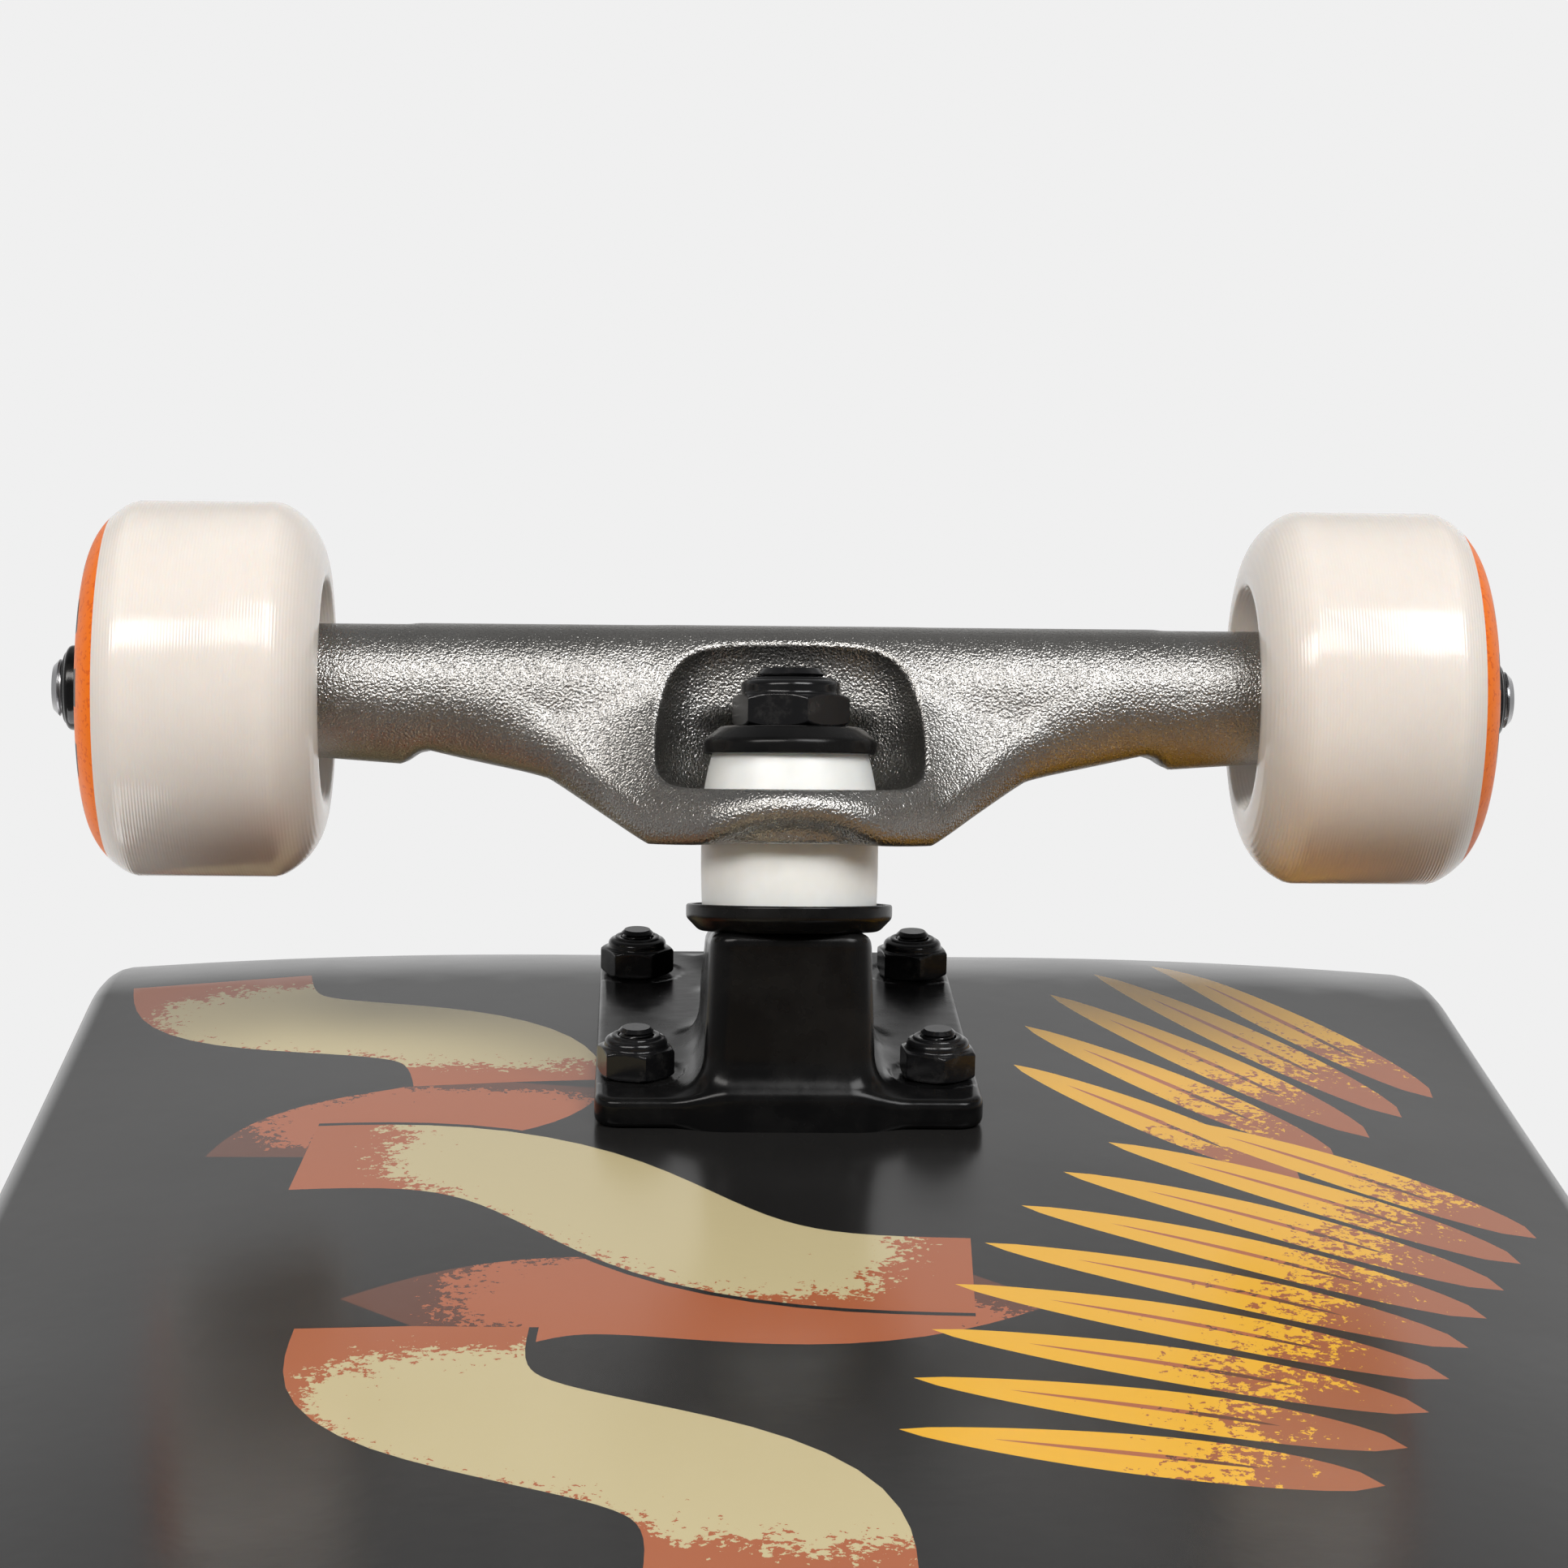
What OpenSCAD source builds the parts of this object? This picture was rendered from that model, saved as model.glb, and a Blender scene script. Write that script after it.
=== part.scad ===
// Complete street skateboard: seven-ply deck, grip tape, two cast trucks and four wheels.
// The board stands on its wheels, the nose points along +X and the axles lie along Y.
// The origin is on the ground under the middle of the board. All sizes are in millimetres.

/* [Deck] */
// Width of the deck
deck_width = 209; // [200:1:215]
// Thickness of the maple plies together
deck_thickness = 11; // [10:0.5:12]
// Distance between the inner bolt rows of the two trucks
wheelbase = 362; // [350:1:380]
// Length of the nose along its surface, from the outer bolt row to the tip
nose_length = 182; // [175:1:190]
// Length of the tail along its surface, from the outer bolt row to the tip
tail_length = 171; // [165:1:180]
// Slope of the nose in degrees
nose_angle = 21; // [18:0.5:23]
// Slope of the tail in degrees
tail_angle = 20; // [17:0.5:22]
// Radius of the bend where a kick leaves the flat
kick_radius = 110; // [90:5:140]
// Height by which the concave lifts the long edges
concave_depth = 6; // [5:0.5:10]
// Width of the flat strip along the middle
flat_width = 70; // [64:1:80]
// Thickness of the grip tape
grip_thickness = 1; // [0.8:0.1:1.2]

/* [Trucks] */
// Height of the axle's centre away from the deck's underside
axle_drop = 53; // [52:0.5:54]
// Distance of the axle from the middle of the bolt pattern, towards mid-board
axle_offset = 6; // [5.5:0.1:6.2]
// Overall length of the axle
axle_length = 203.2; // [202:0.1:206]
// Diameter of the axle
axle_d = 7.94; // [7.9:0.01:7.98]
// Lean of the kingpin away from mid-board in degrees
kingpin_lean = 12.5; // [12:0.1:13]
// Diameter of the kingpin
kingpin_d = 9.5; // [9:0.1:9.6]
// Diameter of the barrel bushing
barrel_d = 24.1; // [23.6:0.1:24.3]

/* [Wheels] */
// Wheel diameter
wheel_d = 52; // [50:0.5:54]
// Wheel width
wheel_width = 32.6; // [32:0.1:33.5]
// Width of the flat tread
tread_width = 19.6; // [18:0.1:21]
// Distance of a wheel's middle from the middle of the board
wheel_offset = 80.2; // [79.8:0.1:80.6]
// Length of the spacer between a wheel's two bearings
spacer_length = 10; // [9.8:0.1:10.2]

/* [Hidden] */
$fn = 64;
eps = 0.5;                                       // how far a cutter runs past a face

// Bolt pattern shared by the deck and the baseplates
bolt_dx = 54;                                    // between a truck's two bolt rows
bolt_dy = 41.3;                                  // between the two bolts of a row
bolt_r = 2.4;
bolt_hole_r = 2.6;
head_r = 4.7;
head_depth = 2.6;
head_gap = 0.15;
plate_t = 4.1;
bolt_end = plate_t + 6.5;                        // reach of a bolt below the deck

// Deck form
edge_r = 3.5;                                    // rounding of the deck's edge
bend_start = wheelbase / 2 + bolt_dx + 11;       // where the kicks leave the flat
taper_start = bend_start + 3;                    // where the outline starts to close
outline_power = 2.4;                             // squareness of the nose and tail
nose_end = wheelbase / 2 + bolt_dx + nose_length;
tail_end = wheelbase / 2 + bolt_dx + tail_length;
mid_rows = 8;                                    // rows on each side of the middle
kick_rows = 26;                                  // rows along each kick
flat_share = flat_width / 2 / (deck_width / 2 - edge_r);
spread = [-0.88, -0.73, -0.57, -flat_share, flat_share, 0.57, 0.73, 0.88];
grip_spread = concat([-1], spread, [1]);

// Places of the main things
axle_z = wheel_d / 2;
deck_z = axle_z + axle_drop;                     // the deck's underside
mid_x = (path_x(-tail_end) + path_x(nose_end)) / -2;
front_x = mid_x + (wheelbase + bolt_dx) / 2;
rear_x = mid_x - (wheelbase + bolt_dx) / 2;

// Baseplate
plate_l = 80;
plate_w = 52.4;
plate_corner_r = 3.5;
boss_w = 21.8;

// Kingpin stack, measured along the kingpin from the middle of the hanger's ring
ring_x = 24;
ring_h = axle_drop - 13.7;
ring_r = 19.4;
ring_half = 3.8;
seat_depth = 2;                                  // depth of the bushing seats in the ring
seat_r = barrel_d / 2 + 0.4;
window_half = 18.8;                              // half width of the window above the ring
base_seat = -15.4;
cup_t = 1.2;
bottom_cup_h = 3.7;
top_cup_low = 8.65;
nut_low = 12.4;
nut_hex = 4.3;
nut_h = 6.6;
nut_af = 14.3;
kingpin_top = 20.3;
head_top = -30.6;
head_low = -36;
head_space_r = 7.2;                              // recess for the kingpin's head

// Pivot: the hanger's nose turns in it about the line to the middle of the ring
pivot_x = -25;
pivot_h = axle_drop - 37;
steer_lean = atan2(ring_h - pivot_h, ring_x - pivot_x);
pivot_r = 4.9;
pivot_gap = 0.1;
pivot_tip = -1.4;                                // centre of the pivot's round end
pivot_cup_r = 7.4;
pivot_cup_depth = 10;
pivot_mouth = 2;

// Wheel and bearing
bearing_r = 11;
bearing_w = 7;
bearing_mid = spacer_length / 2 + bearing_w / 2;
bearing_out = spacer_length / 2 + bearing_w;
pitch_r = 7.5;
ball_r = 1.984;
ball_count = 7;
groove_r = 2.08;
outer_land_r = 8.95;
inner_land_r = 6.05;
bearing_bore_r = 4;
shield_t = 0.4;
shield_seat_r = 9.4;
speed_washer_t = 0.9;
axle_nut_h = 7;
axle_nut_af = 12.7;
hanger_end = wheel_offset - bearing_out - speed_washer_t;
housing_r = 9.25;                                // radius of the hanger's axle housing

// ---- Deck surface: s runs along the board, y across it, t through its thickness ----

function kick_limit(s) = s > 0 ? nose_angle : tail_angle;

function slope_at(s) =
    min(kick_limit(s), max(0, abs(s) - bend_start) / kick_radius * 180 / PI);

function straight_run(s) =
    max(0, abs(s) - bend_start - kick_radius * slope_at(s) * PI / 180);

function path_x(s) = sign(s) * (min(abs(s), bend_start)
    + kick_radius * sin(slope_at(s)) + straight_run(s) * cos(slope_at(s)));

function path_z(s) =
    kick_radius * (1 - cos(slope_at(s))) + straight_run(s) * sin(slope_at(s));

function outline_share(s) =
    max(0, abs(s) - taper_start) / ((s > 0 ? nose_end : tail_end) - taper_start);

function half_width(s) =
    deck_width / 2 * pow(1 - pow(outline_share(s), outline_power), 1 / outline_power);

// The concave is full between the trucks and shallower from the kicks' bends outwards
function concave_share(s) =
    1 - 0.55 * pow(min(1, max(0, abs(s) - bend_start + 150) / 150), 1.5);

function concave_lift(s, y) = concave_depth * concave_share(s)
    * pow(max(0, abs(y) - flat_width / 2) / (deck_width / 2 - flat_width / 2), 2);

function board_point(s, y, t) = let (lift = t + concave_lift(s, y))
    [path_x(s) - sign(s) * lift * sin(slope_at(s)), y, path_z(s) + lift * cos(slope_at(s))];

// Rows are close together at the tips, where the outline turns quickly
function kick_row(end, i) =
    taper_start + (end - taper_start) * 0.9995 * (1 - pow(1 - i / kick_rows, 1.8));

board_rows = concat(
    [for (i = [kick_rows:-1:1]) -kick_row(tail_end, i)],
    [for (i = [-mid_rows:mid_rows]) i / mid_rows * taper_start],
    [for (i = [1:kick_rows]) kick_row(nose_end, i)]
);

function deck_section(w) = let (b = w - edge_r, e = edge_r, t = deck_thickness) concat(
    [for (v = spread) [v * b, 0]],
    [for (a = [0, 45, 90]) [b + e * sin(a), e - e * cos(a)]],
    [for (a = [0, 45, 90]) [b + e * cos(a), t - e + e * sin(a)]],
    [for (i = [len(spread) - 1:-1:0]) [spread[i] * b, t]],
    [for (a = [0, 45, 90]) [-b - e * sin(a), t - e + e * cos(a)]],
    [for (a = [0, 45, 90]) [-b - e * cos(a), e - e * sin(a)]]
);

function grip_section(w) = let (b = w - edge_r, t = deck_thickness) concat(
    [for (v = grip_spread) [v * b, t]],
    [for (i = [len(grip_spread) - 1:-1:0]) [grip_spread[i] * b, t + grip_thickness]]
);

// Skin over a list of rows with the same number of points. Triangles on the underside mirror
// those on the top, so that stacked sheets share theirs. The two ends are ladders of triangles
// between the underside and the top: point j faces point facing - j.
module loft(rows, facing) {
    count = len(rows[0]);
    last = len(rows) - 1;
    points = [for (row = rows) each row];
    sides = [for (i = [0:last - 1], j = [0:count - 1])
        let (k = (j + 1) % count, a = i * count, b = a + count, under = j < count / 2 - 1)
        each under ? [[a + j, b + j, a + k], [b + j, b + k, a + k]]
                   : [[a + j, b + k, a + k], [a + j, b + j, b + k]]];
    first_rung = (facing + 1 - count) / 2;
    ladder = [for (j = [first_rung:first_rung + count / 2 - 2])
        let (a = (j + count) % count, b = (j + 1 + count) % count,
            c = (facing - j - 1 + count) % count, d = (facing - j + count) % count)
        each [[a, b, d], [b, c, d]]];
    far_end = [for (t = ladder) [for (i = [2:-1:0]) last * count + t[i]]];
    polyhedron(points, concat(sides, ladder, far_end));
}

module on_deck() {
    translate([mid_x, 0, deck_z]) children();
}

module at_bolts() {
    for (x = [front_x, rear_x], sx = [-1, 1], sy = [-1, 1])
        translate([x + sx * bolt_dx / 2, sy * bolt_dy / 2, deck_z]) children();
}

module deck() {
    color("#3a3a3b") difference() {
        on_deck() loft([for (s = board_rows)
            [for (p = deck_section(half_width(s))) board_point(s, p[0], p[1])]],
            2 * len(spread) + 5);
        at_bolts() {
            translate([0, 0, -eps]) cylinder(h = deck_thickness, r = bolt_hole_r);
            head_cutter();
        }
    }
}

module grip_tape() {
    color("#1d1d1e") difference() {
        on_deck() loft([for (s = board_rows)
            [for (p = grip_section(half_width(s))) board_point(s, p[0], p[1])]],
            2 * len(grip_spread) - 1);
        at_bolts() head_cutter();
    }
}

// Countersink that a bolt head sits in, through the grip tape and into the top ply
module head_cutter() {
    low = deck_thickness + grip_thickness - head_depth;
    translate([0, 0, low - head_gap])
        cylinder(h = head_depth + head_gap, r1 = bolt_r + head_gap * 2, r2 = head_r + head_gap);
    translate([0, 0, low + head_depth - 0.01]) cylinder(h = eps, r = head_r + head_gap);
}

// ---- Hardware ----

module deck_bolts() {
    top = deck_thickness + grip_thickness;
    color("#141414") at_bolts() difference() {
        union() {
            translate([0, 0, top - head_depth]) cylinder(h = head_depth, r1 = bolt_r, r2 = head_r);
            translate([0, 0, 0.5 - bolt_end])
                cylinder(h = bolt_end - 0.5 + top - head_depth, r = bolt_r);
            translate([0, 0, -bolt_end]) cylinder(h = 0.5, r1 = bolt_r - 0.5, r2 = bolt_r);
        }
        translate([0, 0, top - 2]) cylinder(h = 2 + eps, r = 1.9, $fn = 6);
    }
}

// Lock nut standing on z = 0: a hexagon with a round collar that holds the insert
module lock_nut(af, hex_h, height, bore_r, collar_r) {
    difference() {
        union() {
            intersection() {
                cylinder(h = hex_h, r = af / sqrt(3), $fn = 6);
                cylinder(h = hex_h, r1 = af / 2 + hex_h, r2 = af / 2 + 0.35);
            }
            translate([0, 0, hex_h]) cylinder(h = height - hex_h - 0.5, r = collar_r);
            translate([0, 0, height - 0.5]) cylinder(h = 0.5, r1 = collar_r, r2 = collar_r - 0.5);
        }
        translate([0, 0, -eps]) cylinder(h = height + 2 * eps, r = bore_r);
    }
}

module deck_nuts() {
    color("#101011") at_bolts() translate([0, 0, -plate_t]) rotate([180, 0, 0])
        lock_nut(9.5, 3.8, 5.5, bolt_r, 4.3);
}

// ---- Truck frames: local +X towards mid-board, local +Z away from the deck ----

module at_front() {
    translate([front_x, 0, deck_z]) rotate([0, 180, 0]) children();
}

module at_rear() {
    translate([rear_x, 0, deck_z]) rotate([180, 0, 0]) children();
}

// Frame on the kingpin, with its origin in the middle of the hanger's ring
module on_kingpin() {
    translate([ring_x, 0, ring_h]) rotate([0, -kingpin_lean, 0]) children();
}

// Frame on the steering axis, with its origin in the pivot cup
module on_pivot() {
    translate([pivot_x, 0, pivot_h]) rotate([0, 90 - steer_lean, 0]) children();
}

// Round bar along Y between two places, at a height and distance in the truck's frame
module cross_bar(x, h, r, from, to, r_to = undef) {
    translate([x, from, h]) rotate([-90, 0, 0])
        cylinder(h = to - from, r1 = r, r2 = r_to == undef ? r : r_to);
}

module plate_blank() {
    l = plate_l / 2 - plate_corner_r;
    w = plate_w / 2 - plate_corner_r;
    translate([-plate_l / 2, -w, 0]) cube([plate_l, 2 * w, plate_t]);
    translate([-l, -plate_w / 2, 0]) cube([2 * l, plate_w, plate_t]);
    for (x = [-l, l], y = [-w, w])
        translate([x, y, 0]) cylinder(h = plate_t, r = plate_corner_r);
}

// Block that carries the kingpin, with a nearly upright front
module kingpin_boss() {
    r = 3;
    y = boss_w / 2 - r;
    hull() {
        for (s = [-1, 1]) {
            translate([36.9, s * (y + 1.1), 0]) cylinder(h = 1, r = r, $fn = 24);
            translate([35, s * y, 34]) cylinder(h = 1, r = r, $fn = 24);
            translate([10, s * (y + 1.1), 0]) cylinder(h = 1, r = r, $fn = 24);
            translate([14, s * y, 34]) cylinder(h = 1, r = r, $fn = 24);
        }
    }
}

module baseplate() {
    color("#1b1b1c") difference() {
        union() {
            plate_blank();
            difference() {
                kingpin_boss();
                on_kingpin() translate([-50, -50, base_seat]) cube(100);
            }
            hull() {
                translate([-14, -9, 0]) cube([30, 18, 13]);
                on_pivot() translate([0, 0, -8]) cylinder(h = 6, r = 9, $fn = 32);
            }
            intersection() {
                on_pivot() translate([0, 0, -11.5]) cylinder(h = 11.5 + pivot_mouth, r = 10.4);
                translate([-60, -30, 0]) cube([80, 60, 60]);
            }
        }
        on_kingpin() {
            translate([0, 0, head_top - eps]) cylinder(h = 40, r = kingpin_d / 2);
            translate([0, 0, head_low - 8]) cylinder(h = head_top - head_low + 8, r = head_space_r);
        }
        on_pivot() translate([0, 0, pivot_mouth - pivot_cup_depth])
            cylinder(h = pivot_cup_depth + 20, r = pivot_cup_r);
        for (sx = [-1, 1], sy = [-1, 1])
            translate([sx * bolt_dx / 2, sy * bolt_dy / 2, -eps])
                cylinder(h = plate_t + 20, r = bolt_hole_r);
    }
}

module pivot_cup() {
    color("#e8e6df") on_pivot() difference() {
        translate([0, 0, pivot_mouth - pivot_cup_depth])
            cylinder(h = pivot_cup_depth, r = pivot_cup_r);
        translate([0, 0, pivot_mouth - pivot_cup_depth + 1.6])
            cylinder(h = pivot_cup_depth, r = pivot_r + pivot_gap);
    }
}

module kingpin() {
    color("#17171a") on_kingpin() {
        translate([0, 0, head_low]) cylinder(h = head_top - head_low, r = head_space_r - 0.1);
        translate([0, 0, head_top]) cylinder(h = kingpin_top - head_top - 0.8, r = kingpin_d / 2);
        translate([0, 0, kingpin_top - 0.8])
            cylinder(h = 0.8, r1 = kingpin_d / 2, r2 = kingpin_d / 2 - 0.8);
    }
}

module kingpin_nut() {
    color("#121214") on_kingpin() translate([0, 0, nut_low]) rotate(14)
        lock_nut(nut_af, nut_hex, nut_h, kingpin_d / 2, 6.8);
}

// Cup washer standing on z = 0 with its mouth up: a plate and a flared rim
module cup_washer(r_floor, r_mouth, height) {
    difference() {
        cylinder(h = height, r1 = r_floor, r2 = r_mouth);
        translate([0, 0, cup_t]) cylinder(h = height, r1 = r_floor - cup_t + 0.4,
            r2 = r_mouth + (r_mouth - r_floor) / height * cup_t - cup_t + 0.4);
        translate([0, 0, -eps]) cylinder(h = height, r = kingpin_d / 2 + 0.15);
    }
}

module bottom_washer() {
    color("#161618") on_kingpin() translate([0, 0, base_seat])
        cup_washer(12.4, 14, bottom_cup_h);
}

module top_washer() {
    color("#161618") on_kingpin() translate([0, 0, nut_low]) rotate([180, 0, 0])
        cup_washer(10.8, 11.9, nut_low - top_cup_low);
}

module bushing(low, high, r_low, r_high) {
    color("#f1f0ec") on_kingpin() translate([0, 0, low]) difference() {
        cylinder(h = high - low, r1 = r_low, r2 = r_high);
        translate([0, 0, -eps]) cylinder(h = high - low + 2 * eps, r = kingpin_d / 2 + 0.3);
    }
}

module bottom_bushing() {
    bushing(base_seat + cup_t, seat_depth - ring_half, barrel_d / 2 - 0.6, barrel_d / 2);
}

module top_bushing() {
    bushing(ring_half - seat_depth, nut_low - cup_t, barrel_d / 2, 10);
}

// Outline of the window above the ring, across and along the kingpin
module window_outline() {
    r = 11;
    high = 26;
    translate([-window_half, ring_half]) square([2 * window_half, high - r - ring_half]);
    translate([r - window_half, ring_half]) square([2 * (window_half - r), high - ring_half]);
    for (s = [-1, 1]) translate([s * (window_half - r), high - r]) circle(r = r);
}

// Room for the nut: flat behind the nut, with round corners, open towards mid-board
module nut_room() {
    r = 9.3;
    side = window_half - r;
    translate([0, 0, ring_half]) linear_extrude(40) {
        translate([-r, -side]) square([60, 2 * side]);
        translate([0, -side - r]) square([60, 2 * (side + r)]);
        for (s = [-1, 1]) translate([0, s * side]) circle(r = r);
    }
}

// Room for the cup washer, which reaches closer to the axle than the nut
module washer_room() {
    r = 12.8;
    straight = top_cup_low + 0.8;
    for (y = [-3:1.5:3]) translate([0, y, 0]) {
        translate([0, 0, ring_half]) cylinder(h = straight - ring_half, r = r);
        translate([0, 0, straight]) cylinder(h = nut_low + 1.3 - straight, r1 = r, r2 = r - 1.4);
    }
}

module hanger_body() {
    cross_bar(axle_offset, axle_drop, housing_r, -hanger_end, hanger_end);
    // Collars that grow a little towards the middle and stop at a step
    cross_bar(axle_offset, axle_drop, housing_r + 0.6, 51, 64, housing_r + 0.15);
    cross_bar(axle_offset, axle_drop, housing_r + 0.15, -64, -51, housing_r + 0.6);
    // Arms that widen towards the middle
    hull() {
        cross_bar(axle_offset, axle_drop, housing_r - 0.4, -48, 48, $fn = 32);
        cross_bar(axle_offset + 6, axle_drop - 6.6, 6, -33, 33, $fn = 32);
    }
    // Yoke from the axle housing down to the bushing ring
    hull() {
        cross_bar(axle_offset, axle_drop, housing_r - 0.8, -30, 30, $fn = 32);
        cross_bar(axle_offset + 6.3, axle_drop - 7.1, 5.8, -32, 32, $fn = 32);
        on_kingpin() translate([0, 0, -ring_half])
            cylinder(h = 2 * ring_half, r = ring_r, $fn = 48);
    }
    // Arm down to the pivot
    hull() {
        on_pivot() translate([0, 0, 12]) cylinder(h = 2, r = 6.4, $fn = 32);
        cross_bar(axle_offset, axle_drop - 2, 7, -13, 13, $fn = 32);
        on_kingpin() translate([-9, 0, -ring_half + 0.2]) cylinder(h = 5, r = 10, $fn = 32);
    }
}

module hanger() {
    color("#8b8a88") difference() {
        union() {
            hanger_body();
            on_pivot() {
                translate([0, 0, pivot_tip]) cylinder(h = 17, r = pivot_r);
                translate([0, 0, pivot_tip]) intersection() {
                    sphere(r = pivot_r);
                    translate([0, 0, -pivot_r - 1]) cylinder(h = pivot_r + 1, r = pivot_r + 1);
                }
            }
        }
        on_kingpin() {
            translate([0, 0, -20]) cylinder(h = 40, r = 7);
            translate([0, 0, -20]) cylinder(h = 20 - ring_half + seat_depth, r = seat_r);
            translate([0, 0, ring_half - seat_depth]) cylinder(h = 10, r = seat_r);
            intersection() {
                nut_room();
                rotate([90, 0, 90]) translate([0, 0, -30]) linear_extrude(90) window_outline();
            }
            washer_room();
        }
        cross_bar(axle_offset, axle_drop, axle_d / 2, -hanger_end - eps, hanger_end + eps);
    }
}

module axle() {
    chamfer = 0.8;
    half = axle_length / 2;
    color("#9a9a9c") {
        cross_bar(axle_offset, axle_drop, axle_d / 2, chamfer - half, half - chamfer);
        for (s = [0, 1]) mirror([0, s, 0])
            cross_bar(axle_offset, axle_drop, axle_d / 2, half - chamfer, half, axle_d / 2 - chamfer);
    }
}

// ---- Wheels: local +Z along the axle, away from the board, origin in the wheel's middle ----

module on_axle(side) {
    translate([axle_offset, side * wheel_offset, axle_drop]) rotate([-90 * side, 0, 0]) children();
}

module at_front_left() {
    at_front() on_axle(1) children();
}

module at_front_right() {
    at_front() on_axle(-1) children();
}

module at_rear_left() {
    at_rear() on_axle(-1) children();
}

module at_rear_right() {
    at_rear() on_axle(1) children();
}

module at_bearings() {
    for (s = [-1, 1]) translate([0, 0, s * bearing_mid]) children();
}

// Rounded shoulder between the tread and the lip of the side recess, as [radius, place]
lip_r = 16.6;
lip_half = wheel_width / 2;
lip_rise = wheel_d / 2 - lip_r;
tread_fall = lip_half - tread_width / 2;
shoulder_r = (pow(lip_rise, 2) + pow(tread_fall, 2)) / (2 * tread_fall);
shoulder_start = atan2(shoulder_r - tread_fall, lip_rise);

function shoulder(i) = let (a = shoulder_start + (90 - shoulder_start) * i / 8)
    [lip_r + shoulder_r * cos(a), lip_half - shoulder_r + shoulder_r * sin(a)];

wheel_side = concat(
    [for (i = [0:8]) shoulder(i)],
    [[15.6, lip_half - 0.4], [15, lip_half - 1.2], [13.4, bearing_out + 0.7], [12.4, bearing_out + 0.3]],
    [[bearing_r, bearing_out + 0.3], [bearing_r, spacer_length / 2], [8, spacer_length / 2]]
);

module wheel() {
    low_side = [for (i = [len(wheel_side) - 1:-1:0]) [wheel_side[i][0], -wheel_side[i][1]]];
    color("#f0e8dd") rotate_extrude($fn = 96) polygon(concat(wheel_side, low_side));
}

module ring(r_in, r_out, low, high) {
    difference() {
        translate([0, 0, low]) cylinder(h = high - low, r = r_out);
        translate([0, 0, low - eps]) cylinder(h = high - low + 2 * eps, r = r_in);
    }
}

module outer_races() {
    color("#b9b9bb") at_bearings() rotate_extrude() difference() {
        translate([outer_land_r, -bearing_w / 2]) square([bearing_r - outer_land_r, bearing_w]);
        translate([pitch_r, 0]) circle(r = groove_r);
        for (s = [-1, 1]) translate([outer_land_r - 1, s * (bearing_w / 2 - 0.3) - 0.3])
            square([shield_seat_r - outer_land_r + 1, 0.6]);
    }
}

module inner_races() {
    color("#bdbdbf") at_bearings() rotate_extrude() difference() {
        translate([bearing_bore_r, -bearing_w / 2]) square([inner_land_r - bearing_bore_r, bearing_w]);
        translate([pitch_r, 0]) circle(r = groove_r);
    }
}

module at_balls() {
    for (i = [0:ball_count - 1]) rotate(i * 360 / ball_count) translate([pitch_r, 0, 0]) children();
}

module balls() {
    color("#d0d0d2") at_bearings() at_balls() sphere(r = ball_r, $fn = 32);
}

module cages() {
    color("#c9b58a") at_bearings() difference() {
        ring(6.6, 8.4, -2.6, 0.9);
        at_balls() sphere(r = ball_r + 0.06, $fn = 32);
    }
}

module shields() {
    color("#1f1f21") at_bearings() for (s = [-1, 1])
        translate([0, 0, s * (bearing_w / 2 - 0.6 + shield_t / 2)])
            ring(inner_land_r + 0.3, shield_seat_r, -shield_t / 2, shield_t / 2);
}

module spacer() {
    color("#a8a8aa") ring(4.05, 5.2, -spacer_length / 2, spacer_length / 2);
}

module speed_washers() {
    color("#8f8f92") for (s = [-1, 1])
        translate([0, 0, s * (bearing_out + speed_washer_t / 2)])
            ring(4.05, 5.8, -speed_washer_t / 2, speed_washer_t / 2);
}

module axle_nut() {
    color("#101012") translate([0, 0, bearing_out + speed_washer_t])
        lock_nut(axle_nut_af, 4.8, axle_nut_h, axle_d / 2, 5.9);
}

// ---- Nodes ----

deck();
grip_tape();
deck_bolts();
deck_nuts();

at_front() baseplate();  // front_baseplate
at_front() pivot_cup();  // front_pivot_cup
at_front() kingpin();  // front_kingpin
at_front() kingpin_nut();  // front_kingpin_nut
at_front() bottom_washer();  // front_bottom_washer
at_front() bottom_bushing();  // front_bottom_bushing
at_front() top_bushing();  // front_top_bushing
at_front() top_washer();  // front_top_washer
at_front() hanger();  // front_hanger
at_front() axle();  // front_axle

at_rear() baseplate();  // rear_baseplate
at_rear() pivot_cup();  // rear_pivot_cup
at_rear() kingpin();  // rear_kingpin
at_rear() kingpin_nut();  // rear_kingpin_nut
at_rear() bottom_washer();  // rear_bottom_washer
at_rear() bottom_bushing();  // rear_bottom_bushing
at_rear() top_bushing();  // rear_top_bushing
at_rear() top_washer();  // rear_top_washer
at_rear() hanger();  // rear_hanger
at_rear() axle();  // rear_axle

at_front_left() wheel();  // front_left_wheel
at_front_left() outer_races();  // front_left_outer_races
at_front_left() inner_races();  // front_left_inner_races
at_front_left() balls();  // front_left_balls
at_front_left() cages();  // front_left_cages
at_front_left() shields();  // front_left_shields
at_front_left() spacer();  // front_left_spacer
at_front_left() speed_washers();  // front_left_speed_washers
at_front_left() axle_nut();  // front_left_axle_nut

at_front_right() wheel();  // front_right_wheel
at_front_right() outer_races();  // front_right_outer_races
at_front_right() inner_races();  // front_right_inner_races
at_front_right() balls();  // front_right_balls
at_front_right() cages();  // front_right_cages
at_front_right() shields();  // front_right_shields
at_front_right() spacer();  // front_right_spacer
at_front_right() speed_washers();  // front_right_speed_washers
at_front_right() axle_nut();  // front_right_axle_nut

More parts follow.
